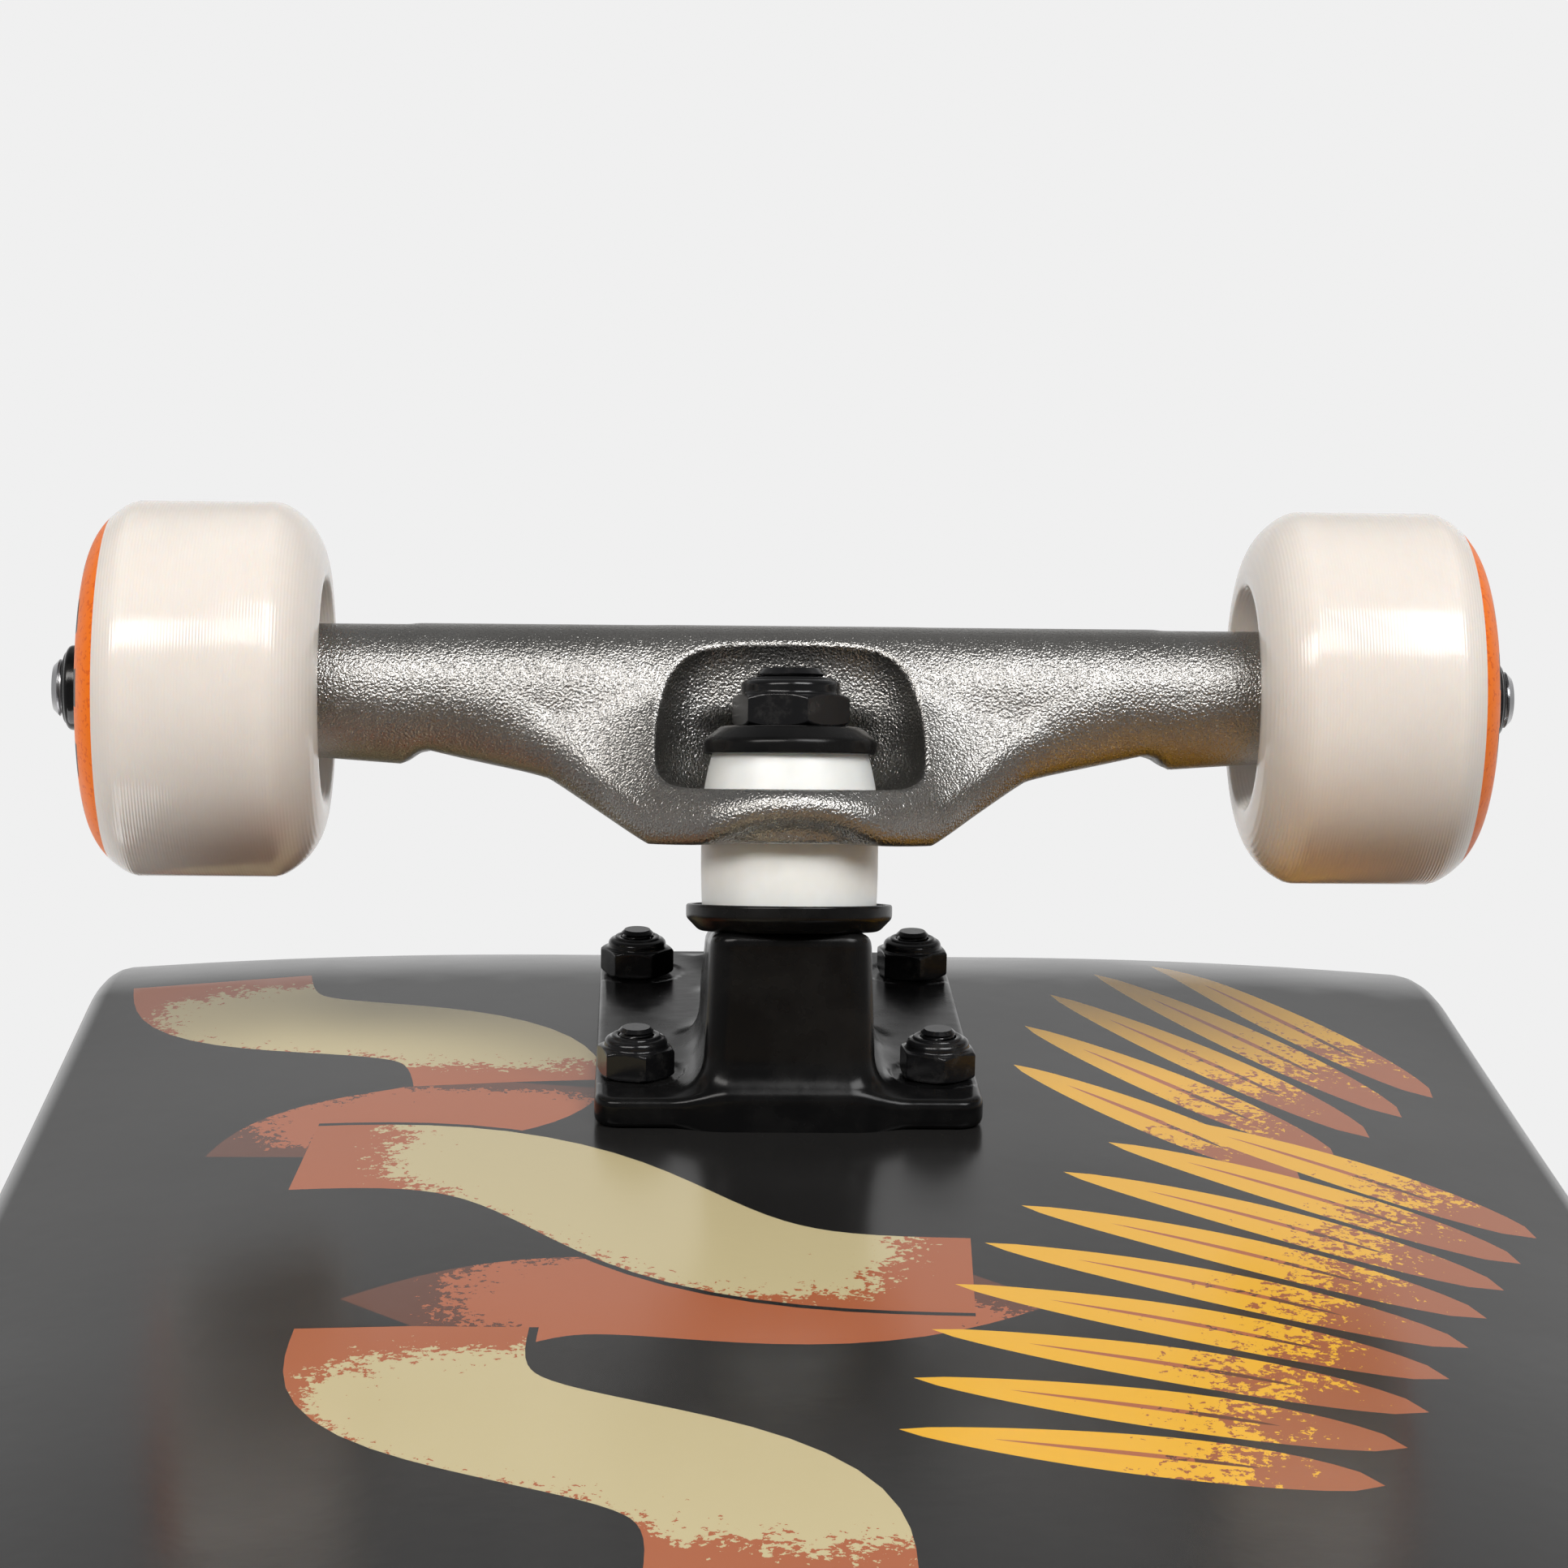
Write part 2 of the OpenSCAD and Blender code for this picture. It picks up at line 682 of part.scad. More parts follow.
at_rear_left() wheel();  // rear_left_wheel
at_rear_left() outer_races();  // rear_left_outer_races
at_rear_left() inner_races();  // rear_left_inner_races
at_rear_left() balls();  // rear_left_balls
at_rear_left() cages();  // rear_left_cages
at_rear_left() shields();  // rear_left_shields
at_rear_left() spacer();  // rear_left_spacer
at_rear_left() speed_washers();  // rear_left_speed_washers
at_rear_left() axle_nut();  // rear_left_axle_nut

at_rear_right() wheel();  // rear_right_wheel
at_rear_right() outer_races();  // rear_right_outer_races
at_rear_right() inner_races();  // rear_right_inner_races
at_rear_right() balls();  // rear_right_balls
at_rear_right() cages();  // rear_right_cages
at_rear_right() shields();  // rear_right_shields
at_rear_right() spacer();  // rear_right_spacer
at_rear_right() speed_washers();  // rear_right_speed_washers
at_rear_right() axle_nut();  // rear_right_axle_nut
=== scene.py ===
"""Looks of a complete street skateboard, built round its CAD model.

Lengths are in millimetres until a mesh is made, where MM turns them into metres. A truck's own
frame has x towards mid-board, y across the board and h away from the deck's underside.
"""
import math
import random

import bpy
import numpy as np
from mathutils import Matrix, Vector
from mathutils.geometry import delaunay_2d_cdt


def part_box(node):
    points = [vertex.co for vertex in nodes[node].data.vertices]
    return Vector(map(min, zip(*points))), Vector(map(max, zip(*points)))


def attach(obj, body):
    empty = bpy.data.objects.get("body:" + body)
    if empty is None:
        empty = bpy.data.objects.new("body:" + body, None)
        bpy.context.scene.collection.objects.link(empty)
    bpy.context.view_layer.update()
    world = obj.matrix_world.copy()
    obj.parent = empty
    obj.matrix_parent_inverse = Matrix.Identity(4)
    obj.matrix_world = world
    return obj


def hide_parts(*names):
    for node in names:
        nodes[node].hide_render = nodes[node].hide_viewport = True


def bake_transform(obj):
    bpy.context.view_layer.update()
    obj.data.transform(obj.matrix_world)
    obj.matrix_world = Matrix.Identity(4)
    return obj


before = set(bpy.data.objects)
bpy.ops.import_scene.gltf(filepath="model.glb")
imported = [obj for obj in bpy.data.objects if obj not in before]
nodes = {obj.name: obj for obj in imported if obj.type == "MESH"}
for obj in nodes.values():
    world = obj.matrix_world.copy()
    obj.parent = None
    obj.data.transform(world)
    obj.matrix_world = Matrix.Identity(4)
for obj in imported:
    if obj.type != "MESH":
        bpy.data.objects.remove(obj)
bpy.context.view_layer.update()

MM = 0.001


def box_mm(node):
    low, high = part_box(node)
    return np.array(low) / MM, np.array(high) / MM


# ---- Places, from the frame ----

deck_low, deck_high = box_mm("deck")
plate_low, plate_high = box_mm("front_baseplate")
axle_low, axle_high = box_mm("front_axle")
rear_low, rear_high = box_mm("rear_baseplate")
wheel_low, wheel_high = box_mm("front_left_wheel")

DECK_Z = deck_low[2]
FRONT_X = (plate_low[0] + plate_high[0]) / 2
REAR_X = (rear_low[0] + rear_high[0]) / 2
MID_X = (FRONT_X + REAR_X) / 2
AXLE_X = FRONT_X - (axle_low[0] + axle_high[0]) / 2
AXLE_H = DECK_Z - (axle_low[2] + axle_high[2]) / 2
AXLE_R = (axle_high[2] - axle_low[2]) / 2
AXLE_HALF = (axle_high[1] - axle_low[1]) / 2
WHEEL_R = (wheel_high[2] - wheel_low[2]) / 2
WHEEL_HALF = (wheel_high[1] - wheel_low[1]) / 2
WHEEL_Y = (wheel_high[1] + wheel_low[1]) / 2

AT_FRONT = Matrix(((-1, 0, 0, FRONT_X * MM), (0, 1, 0, 0), (0, 0, -1, DECK_Z * MM), (0, 0, 0, 1)))
AT_REAR = Matrix(((1, 0, 0, REAR_X * MM), (0, -1, 0, 0), (0, 0, -1, DECK_Z * MM), (0, 0, 0, 1)))
TRUCKS = {"front": AT_FRONT, "rear": AT_REAR}

# Kingpin and steering axis in a truck's frame. The ring is the hanger's, between the bushings.
RING_X, RING_H = 24.0, AXLE_H - 13.7
KINGPIN_LEAN = math.radians(12.5)
PIVOT_X, PIVOT_H = -25.0, AXLE_H - 37.0
STEER_LEAN = math.atan2(RING_H - PIVOT_H, RING_X - PIVOT_X)
KINGPIN_FRAME = (Matrix.Translation((RING_X * MM, 0, RING_H * MM))
                 @ Matrix.Rotation(-KINGPIN_LEAN, 4, "Y"))

# ---- Camera ----

# Where the camera stands, seen from where the front truck meets the deck, and how it is turned
CAMERA_AT = (-545.9, -19.93, -156.4)
CAMERA_YAW, CAMERA_PITCH, CAMERA_ROLL = (math.radians(a) for a in (2.093, 12.147, 0.885))
CAMERA_LENS = 90.45


def make_camera():
    """Looks from mid-board, low on the ground's side, with the ground's side up."""
    level, rise = math.cos(CAMERA_PITCH), math.sin(CAMERA_PITCH)
    ahead = Vector((level * math.cos(CAMERA_YAW), level * math.sin(CAMERA_YAW), rise))
    right = ahead.cross(Vector((0, 0, -1))).normalized()
    up = right.cross(ahead)
    side = math.cos(CAMERA_ROLL) * right + math.sin(CAMERA_ROLL) * up
    top = math.cos(CAMERA_ROLL) * up - math.sin(CAMERA_ROLL) * right
    data = bpy.data.cameras.new("camera")
    data.lens = CAMERA_LENS
    data.sensor_width = 36.0
    camera = bpy.data.objects.new("camera", data)
    bpy.context.scene.collection.objects.link(camera)
    turn = Matrix((side, top, -ahead)).transposed().to_4x4()
    spot = (Vector((FRONT_X, 0, DECK_Z)) + Vector(CAMERA_AT)) * MM
    camera.matrix_world = Matrix.Translation(spot) @ turn
    data.clip_start, data.clip_end = 0.01, 60.0
    bpy.context.scene.camera = camera


make_camera()

# ---- Mesh tools ----


def new_mesh(name, points, faces, normals=None, sharp_angle=None):
    """A smooth-shaded mesh from points in millimetres."""
    mesh = bpy.data.meshes.new(name)
    faces = faces.tolist() if isinstance(faces, np.ndarray) else faces
    mesh.from_pydata((np.asarray(points, float) * MM).tolist(), [], faces)
    mesh.polygons.foreach_set("use_smooth", [True] * len(mesh.polygons))
    if sharp_angle is not None:
        mesh.set_sharp_from_angle(angle=math.radians(sharp_angle))
    if normals is not None:
        mesh.normals_split_custom_set_from_vertices(np.asarray(normals, float).tolist())
    mesh.update()
    return mesh


def place(name, mesh, body, material, slot, replaced=(), matrix=None):
    """Makes a piece from a mesh, in its place, riding on a body."""
    piece = bpy.data.objects.new(name, mesh)
    bpy.context.scene.collection.objects.link(piece)
    if matrix is not None:
        piece.matrix_world = matrix
    for m in material if isinstance(material, (list, tuple)) else [material]:
        if m.name not in [x.name for x in mesh.materials if x]:
            mesh.materials.append(m)
    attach(piece, body)
    if replaced:
        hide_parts(*replaced)


def place_all(prefix, rows):
    """Places pieces given as (name, mesh, body, material, slot, CAD node or None, matrix)."""
    for name, mesh, body, material, slot, node, matrix in rows:
        place(f"{prefix}_{name}", mesh.copy(), body, MATERIALS[material] if material else [], slot,
              [f"{prefix}_{node}"] if node else (), matrix)


def smooth_min(a, b, k):
    """Union of two distances, rounded over k."""
    h = np.maximum(k - np.abs(a - b), 0) / k
    return np.minimum(a, b) - h * h * k / 4


def smooth_max(a, b, k):
    """Overlap of two distances, rounded over k."""
    return -smooth_min(-a, -b, k)


def curve(value, knots):
    """Smooth curve through a few (place, height) knots."""
    xs, ys = np.array(knots, float).T
    slope = np.gradient(ys, xs)
    i = np.clip(np.searchsorted(xs, value) - 1, 0, len(xs) - 2)
    width = xs[i + 1] - xs[i]
    t = np.clip((value - xs[i]) / width, 0, 1)
    return ((2 * t ** 3 - 3 * t ** 2 + 1) * ys[i] + (t ** 3 - 2 * t ** 2 + t) * width * slope[i]
            + (3 * t ** 2 - 2 * t ** 3) * ys[i + 1] + (t ** 3 - t ** 2) * width * slope[i + 1])


def rounded_rectangle(x, y, half_x, half_y, r):
    """Distance to a rectangle with round corners."""
    qx, qy = np.abs(x) - (half_x - r), np.abs(y) - (half_y - r)
    return (np.hypot(np.maximum(qx, 0), np.maximum(qy, 0))
            + np.minimum(np.maximum(qx, qy), 0) - r)


def disc(rho, z, r, low, high, k=1.0):
    """Distance to a cylinder between two heights, with its rims rounded."""
    middle, half = (low + high) / 2, (high - low) / 2
    return rounded_rectangle(rho, z - middle, r, half, k)


def net(field, low, high, cell):
    """Surface where a field is zero (negative inside), as points, quads and normals."""
    axes = [np.arange(a, b + cell, cell) for a, b in zip(low, high)]
    grid = np.meshgrid(*axes, indexing="ij", sparse=True)
    value = np.broadcast_to(field(*grid), [len(a) for a in axes]).astype(np.float32)
    inside = value < 0
    shape = tuple(n - 1 for n in value.shape)
    total = np.zeros(shape + (3,), np.float32)
    count = np.zeros(shape, np.int8)
    crossings = []
    for axis in range(3):
        here = [slice(None)] * 3
        there = [slice(None)] * 3
        here[axis], there[axis] = slice(None, -1), slice(1, None)
        a, b = value[tuple(here)], value[tuple(there)]
        crosses = inside[tuple(here)] != inside[tuple(there)]
        share = np.where(crosses, a / np.where(crosses, a - b, 1), 0)
        crossings.append((axis, np.argwhere(crosses), inside[tuple(here)]))
        p, q = [d for d in range(3) if d != axis]
        for dp in (0, 1):
            for dq in (0, 1):
                cut = [slice(None)] * 3
                cut[p] = slice(dp, value.shape[p] - 1 + dp)
                cut[q] = slice(dq, value.shape[q] - 1 + dq)
                c = crosses[tuple(cut)]
                total[..., axis] += np.where(c, share[tuple(cut)], 0)
                total[..., p] += c * dp
                total[..., q] += c * dq
                count += c
    active = np.argwhere(count > 0)
    index = np.full(shape, -1, np.int64)
    index[tuple(active.T)] = np.arange(len(active))
    spot = total[tuple(active.T)] / count[tuple(active.T)][:, None]
    points = np.array(low) + (active + spot) * cell
    faces = []
    for axis, found, is_in in crossings:
        p, q = (axis + 1) % 3, (axis + 2) % 3
        found = found[(found[:, p] > 0) & (found[:, q] > 0)
                      & (found[:, p] < shape[p]) & (found[:, q] < shape[q])]
        corners = []
        for dp, dq in ((-1, -1), (0, -1), (0, 0), (-1, 0)):
            cell_at = found.copy()
            cell_at[:, p] += dp
            cell_at[:, q] += dq
            corners.append(index[tuple(cell_at.T)])
        quads = np.stack(corners, 1)
        flip = ~is_in[tuple(found.T)]
        quads[flip] = quads[flip][:, ::-1]
        faces.append(quads)
    faces = np.concatenate(faces)
    faces = faces[(faces >= 0).all(1)]
    for _ in range(3):
        points, normals = towards_surface(field, points, cell)
    return points, faces, normals


def towards_surface(field, points, cell):
    """One Newton step of points towards a field's zero surface, and the normals there."""
    step = 0.04
    x, y, z = points.T
    slope = np.stack([field(x + step, y, z) - field(x - step, y, z),
                      field(x, y + step, z) - field(x, y - step, z),
                      field(x, y, z + step) - field(x, y, z - step)], 1) / (2 * step)
    size = np.maximum((slope ** 2).sum(1), 1e-3)
    move = slope * (field(x, y, z) / size)[:, None]
    far = np.linalg.norm(move, axis=1, keepdims=True)
    move *= np.minimum(1, 0.6 * cell / np.maximum(far, 1e-9))
    return points - move, slope / np.linalg.norm(slope, axis=1, keepdims=True)


def cast(name, field, low, high, cell):
    """Mesh of a solid given by its distance field."""
    points, faces, normals = net(field, low, high, cell)
    return new_mesh(name, points, faces, normals)


def rounded_profile(corners, steps=4):
    """Closed outline as (radius, height) points, from corners given as (radius, height, rounding)."""
    outline = []
    n = len(corners)
    for i, (r, z, fillet) in enumerate(corners):
        here = Vector((r, z))
        back = Vector(corners[i - 1][:2]) - here
        ahead = Vector(corners[(i + 1) % n][:2]) - here
        if fillet <= 0:
            outline.append((r, z))
            continue
        angle = back.angle(ahead)
        reach = min(fillet / math.tan(angle / 2), back.length * 0.49, ahead.length * 0.49)
        a, b = here + back.normalized() * reach, here + ahead.normalized() * reach
        for j in range(steps + 1):
            t = j / steps
            p = a * (1 - t) ** 2 + here * 2 * t * (1 - t) + b * t ** 2
            outline.append((p.x, p.y))
    return outline


def lathe(name, outline, sides=96, sharp_angle=32):
    """Solid of revolution about z from a closed outline of (radius, height) points."""
    turn = np.linspace(0, 2 * math.pi, sides, endpoint=False)
    r, z = np.array(outline, float).T
    points = np.stack([np.outer(np.cos(turn), r), np.outer(np.sin(turn), r),
                       np.broadcast_to(z, (sides, len(z)))], 2).reshape(-1, 3)
    n = len(outline)
    area = sum(r[i - 1] * z[i] - r[i] * z[i - 1] for i in range(n))
    i, j = np.meshgrid(np.arange(sides), np.arange(n), indexing="ij")
    a = i * n + j
    b = i * n + (j + 1) % n
    c = (i + 1) % sides * n + (j + 1) % n
    d = (i + 1) % sides * n + j
    order = (a, b, c, d) if area < 0 else (d, c, b, a)
    faces = np.stack([v.ravel() for v in order], 1)
    return new_mesh(name, points, faces, sharp_angle=sharp_angle)


def screw(name, stretches, pitch, depth, sides=40):
    """Closed rod about z. Each stretch is (height, radius, threaded) and runs from the one before."""
    heights, radii, cut = [], [], []
    for (z0, r0, _), (z1, r1, threaded) in zip(stretches, stretches[1:]):
        count = max(1, int(abs(z1 - z0) / (pitch / 6))) if threaded else 1
        for k in range(count):
            t = k / count
            heights.append(z0 + (z1 - z0) * t)
            radii.append(r0 + (r1 - r0) * t)
            cut.append(1.0 if threaded and 0 < k else 0.0)
    heights.append(stretches[-1][0])
    radii.append(stretches[-1][1])
    cut.append(0.0)
    turn = np.arange(sides) / sides
    z, r, share = (np.array(v)[:, None] for v in (heights, radii, cut))
    wave = np.abs(((z / pitch - turn[None, :]) % 1) * 2 - 1)
    radius = r - depth * share * wave
    angle = turn[None, :] * 2 * math.pi
    rings = np.stack([radius * np.cos(angle), radius * np.sin(angle),
                      np.broadcast_to(z, radius.shape)], 2).reshape(-1, 3)
    count = len(heights)
    i, j = np.meshgrid(np.arange(count - 1), np.arange(sides), indexing="ij")
    a, b = i * sides + j, i * sides + (j + 1) % sides
    faces = np.stack([v.ravel() for v in (a, b, b + sides, a + sides)], 1).tolist()
    faces.append(list(range(sides))[::-1])
    faces.append([(count - 1) * sides + k for k in range(sides)])
    if heights[-1] < heights[0]:
        faces = [f[::-1] for f in faces]
    return new_mesh(name, rings, faces, sharp_angle=35)


def joined(name, meshes):
    """One mesh from several (mesh, matrix) pairs."""
    points, faces = [], []
    for mesh, matrix in meshes:
        base = len(points)
        points += [tuple(matrix @ v.co) for v in mesh.vertices]
        faces += [[base + v for v in p.vertices] for p in mesh.polygons]
    made = bpy.data.meshes.new(name)
    made.from_pydata(points, [], faces)
    made.polygons.foreach_set("use_smooth", [True] * len(made.polygons))
    made.set_sharp_from_angle(angle=math.radians(35))
    return made


# ---- Materials ----


class Nodes:
    """Short way to build the node tree of a material or a world."""

    def __init__(self, name, kind=bpy.data.materials, where="Object"):
        self.owner = kind.new(name)
        self.owner.use_nodes = True
        self.tree = self.owner.node_tree
        self.shader = self.tree.nodes.get("Principled BSDF")
        self.where = self.add("ShaderNodeTexCoord").outputs[where]

    def add(self, kind, inputs=(), **settings):
        node = self.tree.nodes.new(kind)
        for key, value in settings.items():
            setattr(node, key, value)
        for key, value in dict(inputs).items():
            self.put(node.inputs[key], value)
        return node

    def put(self, socket, value):
        if isinstance(value, bpy.types.NodeSocket):
            self.tree.links.new(value, socket)
        else:
            socket.default_value = value

    def set(self, **values):
        """Sets the shader's own sockets, with _ for the spaces in their names."""
        for key, value in values.items():
            self.put(self.shader.inputs[key.replace("_", " ")], value)

    def math(self, operation, a, b=0.0):
        return self.add("ShaderNodeMath", {0: a, 1: b}, operation=operation).outputs[0]

    def noise(self, scale, detail=2.0, roughness=0.5, stretch=None):
        where = self.where
        if stretch:
            where = self.add("ShaderNodeMapping", {"Vector": where, "Scale": stretch}).outputs[0]
        return self.add("ShaderNodeTexNoise", {"Vector": where, "Scale": scale, "Detail": detail,
                                               "Roughness": roughness}).outputs["Fac"]

    def ramp(self, factor, *stops, constant=False):
        node = self.add("ShaderNodeValToRGB", {"Fac": factor})
        ramp = node.color_ramp
        ramp.interpolation = "CONSTANT" if constant else "LINEAR"
        while len(ramp.elements) < len(stops):
            ramp.elements.new(0.5)
        for element, (position, color) in zip(ramp.elements, stops):
            element.position, element.color = position, (*color, 1)
        return node.outputs["Color"]

    def span(self, factor, low, high, to_low=0.0, to_high=1.0):
        return self.add("ShaderNodeMapRange", {"Value": factor, "From Min": low, "From Max": high,
                                               "To Min": to_low, "To Max": to_high}).outputs[0]

    def mix(self, factor, a, b):
        """Colour between a and b, each a socket or three numbers."""
        node = self.add("ShaderNodeMix", {"Factor": factor}, data_type="RGBA")
        for key, value in (("A", a), ("B", b)):
            socket = isinstance(value, bpy.types.NodeSocket)
            self.put(node.inputs[key], value if socket else (*value, 1))
        return node.outputs["Result"]

    def bump(self, height, distance, strength=1.0, under=None):
        inputs = {"Height": height, "Distance": distance, "Strength": strength}
        if under is not None:
            inputs["Normal"] = under
        return self.add("ShaderNodeBump", inputs).outputs[0]

    def attribute(self, name):
        return self.add("ShaderNodeAttribute", attribute_name=name).outputs["Fac"]


def cast_aluminium():
    """Raw casting with a fine blasted grain that sparkles."""
    n = Nodes("cast_aluminium")
    grain = n.noise(2900, 1.0, 0.5)
    fine = n.noise(5200, 2.0, 0.6)
    cloud = n.noise(60, 3.0, 0.6)
    n.set(Metallic=1.0,
          Base_Color=n.mix(n.span(cloud, 0.3, 0.7), (0.34, 0.33, 0.315), (0.42, 0.41, 0.395)),
          Roughness=n.span(fine, 0.3, 0.7, 0.25, 0.38),
          Normal=n.bump(grain, 0.00026, 0.8, n.bump(fine, 0.00003, 0.5)))
    return n.owner


def patchy(name, patch, edges, tones, rough, relief, gloss=None, **settings):
    """Material whose tone and roughness follow one noise, with the fine relief of another.

    patch and gloss are noise settings, and relief is noise settings with its depth and strength.
    """
    n = Nodes(name)
    cloud = n.noise(*patch)
    *fine, depth, strength = relief
    n.set(Base_Color=n.mix(n.span(cloud, *edges), *tones),
          Roughness=n.span(n.noise(*gloss) if gloss else cloud, 0.3, 0.7, *rough),
          Normal=n.bump(n.noise(*fine), depth, strength), **settings)
    return n.owner


def lighter(color, times, more=0.0):
    return tuple(min(1.0, c * times + more) for c in color)


def black_paint():
    """Satin black powder paint with a slight orange peel."""
    return patchy("black_paint", (90, 4.0, 0.6), (0.45, 0.75),
                  ((0.004, 0.004, 0.0042), (0.010, 0.0097, 0.0094)), (0.16, 0.31),
                  (420, 2.0, 0.5, 0.00006, 0.5), Specular_IOR_Level=0.2)


def black_steel():
    """Black oxide on steel, worn a little brighter in patches."""
    return patchy("black_steel", (260, 4.0, 0.65), (0.55, 0.8),
                  ((0.011, 0.011, 0.012), (0.05, 0.048, 0.046)), (0.13, 0.24),
                  (900, 2.0, 0.5, 0.00003, 0.4), Metallic=0.35, Specular_IOR_Level=0.5)


def turned_steel(name="turned_steel", color=(0.5, 0.5, 0.51), stretch=(30, 1, 30)):
    """Bare steel with fine marks round its axis."""
    return patchy(name, (130, 3.0), (0.3, 0.7), (color, lighter(color, 1.15)), (0.2, 0.36),
                  (700, 2.0, 0.6, stretch, 0.00002, 0.5), Metallic=1.0)


def wheel_urethane():
    """Cream urethane: light passes a little way in, and a cutter has left fine rings on it."""
    n = Nodes("wheel_urethane")
    feed = 0.42 * MM
    along = n.add("ShaderNodeSeparateXYZ", {"Vector": n.where}).outputs["Z"]
    rings = n.math("SINE", n.math("MULTIPLY", along, 2 * math.pi / feed))
    cloud = n.noise(70, 3.0, 0.6)
    fine = n.noise(1500, 2.0)
    n.set(Base_Color=n.mix(n.span(cloud, 0.35, 0.65), (0.81, 0.745, 0.685), (0.84, 0.78, 0.72)),
          Roughness=n.span(fine, 0.3, 0.7, 0.13, 0.19),
          Subsurface_Radius=(0.0048, 0.0034, 0.0024),
          Normal=n.bump(rings, 0.000009, 0.9, n.bump(fine, 0.00001, 0.3)))
    n.set(Subsurface_Weight=0.3, Subsurface_Scale=1.0, Specular_IOR_Level=0.5)
    return n.owner


def print_ink(name, color, speck):
    """Ink printed on the wheel's side, slightly thin in specks."""
    return patchy(name, (1300, 3.0, 0.6), (0.56, 0.62), (color, speck), (0.35, 0.46),
                  (1300, 3.0, 0.6, 0.00001, 0.3), gloss=(300, 2.0), Specular_IOR_Level=0.2)


def bushing_urethane():
    """Milky urethane that lets light a little way in."""
    return patchy("bushing_urethane", (120, 3.0, 0.6), (0.35, 0.65),
                  ((0.84, 0.845, 0.81), (0.90, 0.905, 0.88)), (0.3, 0.42),
                  (800, 2.0, 0.5, 0.00001, 0.4), gloss=(500, 2.0), Subsurface_Weight=0.35,
                  Subsurface_Scale=1.0, Subsurface_Radius=(0.003, 0.0026, 0.0022))


def moulded(name, color, roughness=0.45):
    """Plain moulded plastic or rubber with a fine skin."""
    return patchy(name, (150, 3.0), (0.3, 0.7), (color, lighter(color, 1.25, 0.004)),
                  (roughness - 0.06, roughness + 0.08), (1400, 2.0, 0.5, 0.00001, 0.5))


def lacquer(n, color):
    """Gloss lacquer over a coloured ply or a print, with a faint waviness."""
    wave = n.noise(14, 2.0, 0.5)
    peel = n.noise(330, 2.0, 0.5)
    haze = n.noise(24, 4.0, 0.6)
    n.set(Base_Color=color, Roughness=n.span(haze, 0.3, 0.7, 0.16, 0.24),
          Normal=n.bump(wave, 0.0006, 0.25, n.bump(peel, 0.00003, 0.35)))
    n.set(Specular_IOR_Level=0.5)


def deck_base():
    n = Nodes("deck_base")
    haze = n.noise(10, 4.0, 0.6)
    grain = n.noise(60, 3.0, 0.6, stretch=(0.06, 1.0, 1.0))
    tone = n.mix(n.span(haze, 0.3, 0.7), (0.012, 0.0115, 0.0112), (0.017, 0.0165, 0.016))
    lacquer(n, n.mix(n.span(grain, 0.5, 0.8, 0.0, 0.25), tone, (0.03, 0.029, 0.028)))
    return n.owner


def deck_print(name, color, shade):
    """Screen print whose darker tone comes in as specks where the shape's fade is high."""
    n = Nodes(name)
    fade = n.attribute("fade")
    specks = n.noise(900, 3.0, 0.7)
    wide = n.noise(160, 3.0, 0.7)
    mixed = n.math("ADD", n.math("MULTIPLY", specks, 0.6), n.math("MULTIPLY", wide, 0.4))
    past = n.math("SUBTRACT", n.math("MULTIPLY", fade, 0.62), n.math("SUBTRACT", mixed, 0.22))
    lacquer(n, n.mix(n.span(past, -0.004, 0.004), color, shade))
    return n.owner


def ply_edge():
    """Seven maple plies on edge, sanded and sealed."""
    n = Nodes("ply_edge")
    depth = n.attribute("depth")
    maple, dark = (0.50, 0.335, 0.19), (0.40, 0.25, 0.135)
    red, stain = (0.30, 0.055, 0.03), (0.035, 0.034, 0.034)
    plies = [stain, maple, dark, maple, red, maple, dark]
    stops = [(i / len(plies), c) for i, c in enumerate(plies)]
    fibre = n.noise(420, 3.0, 0.6, stretch=(0.12, 0.12, 1.6))
    seam = n.math("PINGPONG", n.math("MULTIPLY", depth, float(len(plies))), 0.5)
    tone = n.mix(n.span(fibre, 0.3, 0.75, 0.0, 0.5), n.ramp(depth, *stops, constant=True),
                 (0.22, 0.13, 0.07))
    n.set(Base_Color=n.mix(n.span(seam, 0.0, 0.06, 0.55, 0.0), tone, (0.08, 0.05, 0.03)),
          Roughness=n.span(fibre, 0.3, 0.7, 0.36, 0.5), Normal=n.bump(fibre, 0.00008, 0.5))
    return n.owner


def grip():
    """Silicon carbide grit in black resin: a coarse grain with scattered glints, partly painted as
    lighter grey specks and partly real, as those specks are also shinier.
    """
    n = Nodes("grip_grit")
    grains = n.add("ShaderNodeTexVoronoi", {"Vector": n.where, "Scale": 1500}).outputs["Distance"]
    wide = n.noise(35, 4.0, 0.6)
    glint = n.noise(2300, 1.0, 0.5)
    tone = n.mix(n.span(wide, 0.35, 0.7), (0.012, 0.012, 0.0125), (0.028, 0.028, 0.029))
    # Painted glints: the shinier specks also get a lighter grey colour.
    n.set(Base_Color=n.mix(n.span(glint, 0.66, 0.74), tone, (0.30, 0.30, 0.31)),
          Roughness=n.span(glint, 0.5, 0.75, 0.9, 0.45),
          Normal=n.bump(grains, 0.0005, 0.9))
    return n.owner


